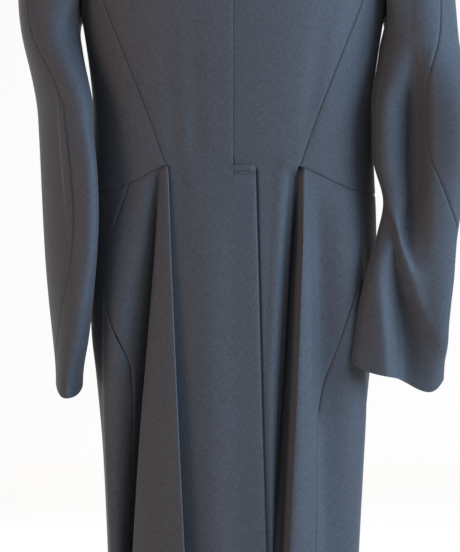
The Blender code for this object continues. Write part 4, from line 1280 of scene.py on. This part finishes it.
# %% Points of a sleeve
def armhole_point(turn):
    """The edge of the armhole on the wearer's left: 0 at the shoulder tip, 90 at the back."""
    turn = turn % 360
    front = turn > 180
    around = np.where(front, 360 - turn, turn)
    share = 1 - np.minimum(around, ARMHOLE_CORNER) / ARMHOLE_CORNER
    x = np.where(front, read(ARMHOLE[True], "reach", share), read(ARMHOLE[False], "reach", share))
    upper = shoulder_point(x, mix(shoulder_turn(x, ARMHOLE_FOOT[0].height), 90, share), front)
    share = np.clip((around - ARMHOLE_CORNER) / (180 - ARMHOLE_CORNER), 0, 1)
    angle = mix(np.where(front, ARMHOLE_FOOT[-1].angle, ARMHOLE_FOOT[0].angle), 90, share)
    lower = body(angle, read(ARMHOLE_FOOT, "height", angle))
    return np.where((around <= ARMHOLE_CORNER)[..., None], upper, lower)


def sleeve_point(side, turn, height):
    """Points of a sleeve's sections: turn 0 is the outer side, 90 the back."""
    reach, depth, half_across, half_along, twist = read_all(SLEEVE[side], height)[:5]
    twist = np.radians(twist)
    across = half_across * np.cos(np.radians(turn))
    along_arm = half_along * np.sin(np.radians(turn))
    x = reach + across * np.cos(twist) - along_arm * np.sin(twist)
    y = depth + across * np.sin(twist) + along_arm * np.cos(twist)
    if side < 0:
        y = y + turned_out(x, y, reach, depth, height)
    return np.stack(np.broadcast_arrays(x, y, height), -1)


def cap_point(side, turn, t):
    """Points over the sleeve head, from the armhole (0) to the arm (1)."""
    start = armhole_point(turn) + np.array([ARMHOLE_GAP, 0, 0])
    end = sleeve_point(side, turn, np.full(turn.shape, CAP_END))
    reach = np.linalg.norm(end - start, axis=-1, keepdims=True)
    lean = 0.5 * (1 + np.cos(np.radians(turn)))
    out = HEAD_OUT + HEAD_SPREAD * lean
    up = HEAD_RISE * lean - HEAD_DROP * (1 - lean)
    leave = np.stack([out, 0 * lean, up], -1) * reach * HEAD_PULL
    arrive = unit(sleeve_point(side, turn, np.full(turn.shape, CAP_END - CAP_NEXT)) - end) * reach
    t = t[..., None]
    points = start * (2 * t ** 3 - 3 * t ** 2 + 1) + leave * (t ** 3 - 2 * t ** 2 + t)
    return points + end * (3 * t ** 2 - 2 * t ** 3) + arrive * (t ** 3 - t ** 2)


# %% Rows of a sleeve piece
def sleeve_rows(side, part):
    """Control points of a sleeve piece, from the back seam to the front seam, head to cuff."""
    u = shares(44)
    gap = SLEEVE_SEAM_GAP if part == "under" else -SLEEVE_SEAM_GAP
    turned = 360 if part == "under" else 0

    def turns(height):
        last = read(SLEEVE[side], "front_seam", height) + turned
        return mix(read(SLEEVE[side], "back_seam", height) + gap, last - gap, u)

    even = np.linspace(0.03, 1, CAP_ROWS - len(NEAR_EDGE) + 1)
    t = np.concatenate([NEAR_EDGE / CAP_LENGTH, even])[:, None]
    turn = turns(mix(CAP_TOP, CAP_END, t))
    cap = cap_point(side, turn, t + 0 * turn)
    height = np.linspace(CAP_END, CUFF_START, 120)[1:, None]
    turn = turns(height)
    arm = sleeve_point(side, turn, height + 0 * turn)
    share = np.linspace(0, 1, 20)[1:, None]
    turn = turns(mix(CUFF_START, CUFF_END, share))
    rim = read(CUFF[side], "height", (turn + 90) % 360 - 90)
    cuff = sleeve_point(side, turn, mix(CUFF_START, rim, share))
    return mirror(np.concatenate([cap, arm, cuff]), side)


# %% The four sleeve pieces
for side, word in SIDES.items():
    for part in ("top", "under"):
        grid = refine(sleeve_rows(side, part), spacing=SLEEVE_SPACING)
        cloth_panel(f"sleeve_{part}_{word}", grid, (side > 0) == (part == "top"),
                    ("first", "last", "bottom"), f"sleeve_{word}", turned=("top",), level=CAP_ROWS)

# %% [markdown]
# ## Buttons
# The buttons are turned ones with a raised rim and four holes, sewn on with a cross of
# thread. A profile spun round its axis makes the disc; the holes are thin dark discs on it.

# %% Button material
horn, tree, shader = new_material("horn_button_dark")
place = add(tree, "ShaderNodeTexCoord")
noise = [("Vector", place.outputs["Object"]), ("Scale", 140.0), ("Detail", 3.0)]
grain = add(tree, "ShaderNodeTexNoise", noise)
colour_by(tree, shader, grain.outputs["Fac"], (0, "#0e0e12"), (1, "#25242a"))
settle(shader, {"Roughness": 0.32, "IOR": 1.54})

thread, tree, shader = new_material("polyester_thread_navy")
settle(shader, {"Base Color": linear("#1b1d25"), "Roughness": 0.6, "Sheen Weight": 0.3})

# %% Buttons
BUTTON_RADIUS = 0.0125
BUTTON_THICKNESS = 0.0038
BUTTON_REACH = 0.056
BUTTON_HEIGHTS = (-0.365, -0.455, -0.545)
HOLE_REACH = 0.0026
HOLE_RADIUS = 0.0011


def front_frame(side, x, height, lift):
    """A place on the front and the three directions there: across, up and out."""
    angle = angle_at(np.array(x), np.array(height), True)
    out = outward(angle, height)
    seat = mirror(body(angle, height) + out * lift, side)
    out = unit(mirror(out, side))
    across = unit(np.cross(out, np.array([0, 0, 1.0])))
    return seat, across, np.cross(across, out) * -1, out


# %% A profile spun round
def spin(points, faces, profile, steps, centre, across, up, out):
    """Adds a profile spun round the way out to lists of points and faces."""
    rings = []
    for radius, lift in profile:
        if radius == 0:
            rings.append([len(points)])
            points.append(centre + out * lift)
            continue
        rings.append(list(range(len(points), len(points) + steps)))
        for i in range(steps):
            turn = 2 * math.pi * i / steps
            spoke = (across * math.cos(turn) + up * math.sin(turn)) * radius
            points.append(centre + spoke + out * lift)
    for low, high in zip(rings, rings[1:]):
        for i in range(steps):
            j = (i + 1) % steps
            corners = ((low, i), (low, j), (high, j), (high, i))
            faces.append(list(dict.fromkeys(ring[k % len(ring)] for ring, k in corners)))


BUTTON_PROFILE = [
    (0, 0), (0.60, 0), (0.94, 0.12), (0.985, 0.35), (1.0, 0.60), (0.985, 0.80), (0.92, 0.96),
    (0.85, 1.0), (0.77, 0.97), (0.70, 0.78), (0.62, 0.64), (0.50, 0.60), (0, 0.60),
]
BUTTON_FACE = 0.60 * BUTTON_THICKNESS
BUTTON_GAP = 0.0006
HOLE_PROFILE = [(HOLE_RADIUS * 1.2, 0.0), (HOLE_RADIUS, 0.00002), (0, 0.00002)]
THREAD_RADIUS = 0.001
HOLE_LIFT = 0.00003
THREAD_LIFT = 0.0003
STEPS_ROUND = {"disc": 48, "hole": 12, "thread": 8}
THREAD_PROFILE = [(0, -1.15), (0.55, -1.1), (0.6, 0), (0.55, 1.1), (0, 1.15)]


def button(number, x, height):
    """A button on the right front: the disc, four dark holes and a cross of thread."""
    lift = float(front_lift(-1, np.array(x))) + BUTTON_GAP
    seat, across, up, out = front_frame(-1, x, height, lift)
    points, faces = [], []
    profile = [(r * BUTTON_RADIUS, z * BUTTON_THICKNESS) for r, z in BUTTON_PROFILE]
    spin(points, faces, profile, STEPS_ROUND["disc"], seat, across, up, out)
    horn_faces = len(faces)
    for a in (-HOLE_REACH, HOLE_REACH):
        for b in (-HOLE_REACH, HOLE_REACH):
            hole = seat + across * a + up * b + out * (BUTTON_FACE + HOLE_LIFT)
            spin(points, faces, HOLE_PROFILE, STEPS_ROUND["hole"], hole, across, up, out)
    profile = [(r * THREAD_RADIUS, z * HOLE_REACH * math.sqrt(2)) for r, z in THREAD_PROFILE]
    for way in (unit(across + up), unit(across - up)):
        middle = seat + out * (BUTTON_FACE + THREAD_LIFT)
        spin(points, faces, profile, STEPS_ROUND["thread"], middle, np.cross(out, way), out, way)
    mesh = bpy.data.meshes.new(f"button_{number:02d}_horn")
    mesh.from_pydata([tuple(point) for point in points], [], faces)
    mesh.materials.append(horn)
    mesh.materials.append(thread)
    for i, face in enumerate(mesh.polygons):
        face.material_index = int(i >= horn_faces)
    mesh.shade_smooth()
    piece = into_scene(mesh.name, mesh)
    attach(piece, "root")
    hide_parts(f"button_{number:02d}")


# %% The six buttons
number = 0
for height in BUTTON_HEIGHTS:
    for x in (-BUTTON_REACH, BUTTON_REACH):
        number += 1
        button(number, x, height)
print("buttons:", number)

# %% [markdown]
# ## Stitches
# Two places show thread: the short row that holds the head of the lap, and the buttonholes,
# whose edges are bound with a ring of stitches that lie across the cut. A stitch is one small
# rounded shape, so Geometry Nodes put a copy of it at even steps along a path, turned along
# the path for the row and across it for the buttonholes. The paths are laid on the finished
# cloth by looking straight down onto it.

# %% The tree that sews
STITCH_SIZES = {"Spacing": 0.0026, "Length": 0.0021, "Thickness": 0.0005, "Unevenness": 0.1}
SOCKETS = {"Path": "Geometry", **dict.fromkeys(STITCH_SIZES, "Float"), "Across": "Bool",
           "Out": "Vector", "Seed": "Int", "Thread": "Material"}

sewing = bpy.data.node_groups.new("row_of_stitches", "GeometryNodeTree")
for name, kind in SOCKETS.items():
    socket = sewing.interface.new_socket(name, in_out="INPUT", socket_type=f"NodeSocket{kind}")
    if name in STITCH_SIZES:
        socket.default_value = STITCH_SIZES[name]
sewing.interface.new_socket("Stitches", in_out="OUTPUT", socket_type="NodeSocketGeometry")
given = add(sewing, "NodeGroupInput").outputs


def calculate(operation, a, b):
    return add(sewing, "ShaderNodeMath", [(0, a), (1, b)], operation=operation).outputs[0]


path = add(sewing, "GeometryNodeMeshToCurve", [("Mesh", given["Path"])])
steps = [("Curve", path.outputs[0]), ("Length", given["Spacing"])]
path = add(sewing, "GeometryNodeResampleCurve", steps, mode="LENGTH")
places = add(sewing, "GeometryNodeCurveToPoints", [("Curve", path.outputs[0])], mode="EVALUATED")
tangent = places.outputs["Tangent"]
sideways = add(sewing, "ShaderNodeVectorMath", [(0, tangent), (1, given["Out"])],
               operation="CROSS_PRODUCT")
ways = [("Switch", given["Across"]), ("False", tangent), ("True", sideways.outputs[0])]
way = add(sewing, "GeometryNodeSwitch", ways, input_type="VECTOR")
turn = add(sewing, "FunctionNodeAlignRotationToVector", [("Vector", way.outputs[0])], axis="Z")
half_length = calculate("MULTIPLY", given["Length"], 0.5)
half_thick = calculate("MULTIPLY", given["Thickness"], 0.5)
lengths = [("X", half_thick), ("Y", half_thick), ("Z", half_length)]
size = add(sewing, "ShaderNodeCombineXYZ", lengths)
limits = [("Seed", given["Seed"]), (2, calculate("SUBTRACT", 1.0, given["Unevenness"])),
          (3, calculate("ADD", 1.0, given["Unevenness"]))]
uneven = add(sewing, "FunctionNodeRandomValue", limits, data_type="FLOAT")
size = add(sewing, "ShaderNodeVectorMath", [(0, size.outputs[0]), ("Scale", uneven.outputs[1])],
           operation="SCALE")
bead = add(sewing, "GeometryNodeMeshUVSphere", [("Segments", 6), ("Rings", 5), ("Radius", 1.0)])
copies = add(sewing, "GeometryNodeInstanceOnPoints", [
    ("Points", places.outputs["Points"]), ("Instance", bead.outputs["Mesh"]),
    ("Rotation", turn.outputs[0]), ("Scale", size.outputs[0])])
real = add(sewing, "GeometryNodeRealizeInstances", [("Geometry", copies.outputs[0])])
dyed = [("Geometry", real.outputs[0]), ("Material", given["Thread"])]
sewn = add(sewing, "GeometryNodeSetMaterial", dyed)
add(sewing, "NodeGroupOutput", [("Stitches", sewn.outputs[0])])
print("inputs of the sewing tree:", [item.name for item in sewing.interface.items_tree])


# %% Sewing a path onto a panel
ABOVE_CLOTH = 0.02
LOOK_DOWN = 0.05


def laid_on(node, angle, height, out):
    """Points of the body's right side, moved straight out onto the panel's outer face."""
    mesh = PIECES[node].data
    corners = [vertex.co for vertex in mesh.vertices]
    tree = BVHTree.FromPolygons(corners, [face.vertices for face in mesh.polygons])
    starts = [Vector(point + ABOVE_CLOTH * out) for point in mirror(body(angle, height), -1)]
    hits = [tree.ray_cast(start, Vector(-out), LOOK_DOWN)[0] for start in starts]
    return [tuple(hit) for hit in hits if hit is not None]


def sew(name, paths, material, **sizes):
    """Stitches along paths of points: closed ones say so with their second value."""
    points, edges = [], []
    for path, closed in paths:
        first = len(points)
        points += path
        edges += [(first + i, first + i + 1) for i in range(len(path) - 1)]
        if closed:
            edges.append((len(points) - 1, first))
    mesh = bpy.data.meshes.new(name)
    mesh.from_pydata(points, edges, [])
    raw = into_scene(name, mesh)
    tool = raw.modifiers.new("Sewing", "NODES")
    tool.node_group = sewing
    sockets = {item.name: item.identifier for item in sewing.interface.items_tree}
    for size, value in dict(sizes, Thread=material).items():
        tool[sockets[size]] = value
    piece = plain(raw, name)
    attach(piece, "root")
    print(name, "triangles:", triangles_in(piece))


# %% The row at the head of the lap
ROW_MARGIN = 0.0015

reach = np.linspace(ROW_MARGIN, LAP[-1].reach - ROW_MARGIN, 12)
level = np.full(reach.shape, HEADER_ROW)
angle = angle_at(reach, level)
out = mirror(outward(angle, level), -1)[6]
row = laid_on("back_left", angle, level, out)
sew("stitches_lap_head", [(row, False)], thread, Spacing=0.0024, Length=0.0020, Thickness=0.0004,
    Across=False, Out=tuple(out), Seed=3)

# %% The buttonholes
HOLE_LENGTH = 0.023
HOLE_WIDTH = 0.0013
HOLE_START = 0.003
HOLE_BLUNTNESS = 1.06

rings = []
turns = np.linspace(0, 2 * math.pi, 60, endpoint=False)
for level in BUTTON_HEIGHTS:
    x = BUTTON_REACH + HOLE_START - HOLE_LENGTH / 2
    x = x + np.clip(HOLE_BLUNTNESS * np.cos(turns), -1, 1) * HOLE_LENGTH / 2
    height = level + np.sin(turns) * HOLE_WIDTH / 2
    angle = angle_at(-x, height, True)
    out = mirror(outward(angle, height), -1)[0]
    rings.append((laid_on("front_right", angle, height, out), True))
sew("stitches_buttonholes", rings, thread, Spacing=0.00062, Length=0.0024, Thickness=0.0009,
    Across=True, Out=tuple(out), Seed=7)

# %% [markdown]
# ## Light and backdrop
# The garment stands before a pale wall. A wide cool light comes from the picture's right and
# a weaker warm one from its left, so faces that turn right look blue and those that turn left
# look brown, as they do in the photograph. A soft overall light fills the rest.

# %% Backdrop
paper, tree, shader = new_material("backdrop_paper")
settle(shader, {"Base Color": linear("#707072"), "Roughness": 1.0,
                "Emission Color": linear("#f8f6f3"), "Emission Strength": 0.90})
FLOOR = -1.30
WALL_BEHIND = -4.50
mesh = bpy.data.meshes.new("backdrop")
mesh.from_pydata([(-6, 6, FLOOR), (6, 6, FLOOR), (6, WALL_BEHIND, FLOOR), (-6, WALL_BEHIND, FLOOR),
                  (6, WALL_BEHIND, 3), (-6, WALL_BEHIND, 3)], [], [(0, 3, 2, 1), (3, 5, 4, 2)])
mesh.materials.append(paper)
backdrop = into_scene("backdrop", mesh)


# %% Lights
def area_light(name, place, aim, size, power, colour):
    lamp = bpy.data.lights.new(name, "AREA")
    lamp.shape = "RECTANGLE"
    lamp.size, lamp.size_y = size
    lamp.energy = power
    lamp.color = colour
    item = into_scene(name, lamp)
    item.location = place
    item.rotation_euler = (Vector(aim) - Vector(place)).to_track_quat("-Z", "Y").to_euler()


area_light("window_right", (-2.6, 1.15, 0.35), (0, 0.05, -0.5), (2.6, 2.4), 220, (0.49, 0.72, 1.0))
area_light("lamp_left", (2.2, 1.55, 0.1), (0, 0.05, -0.5), (1.1, 1.8), 36, (1.0, 0.69, 0.55))
area_light("ceiling_back", (-0.9, 2.3, 1.3), (0, 0.05, -0.5), (1.6, 1.2), 19, (0.74, 0.88, 1.0))
area_light("fill_front", (0.6, -2.4, 0.8), (0, 0, -0.4), (2.0, 2.0), 30, (1.0, 0.98, 0.95))
world = bpy.data.worlds.new("studio")
world.use_nodes = True
settle(world.node_tree.nodes["Background"], {"Color": linear("#dfe6f2"), "Strength": 0.20})
bpy.context.scene.world = world
bpy.context.scene.view_settings.view_transform = "Standard"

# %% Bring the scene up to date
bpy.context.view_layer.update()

# %% Finish
triangles = [triangles_in(piece) for piece in PIECES.values()]
print("triangles in the cloth:", sum(triangles), "most:", max(triangles))
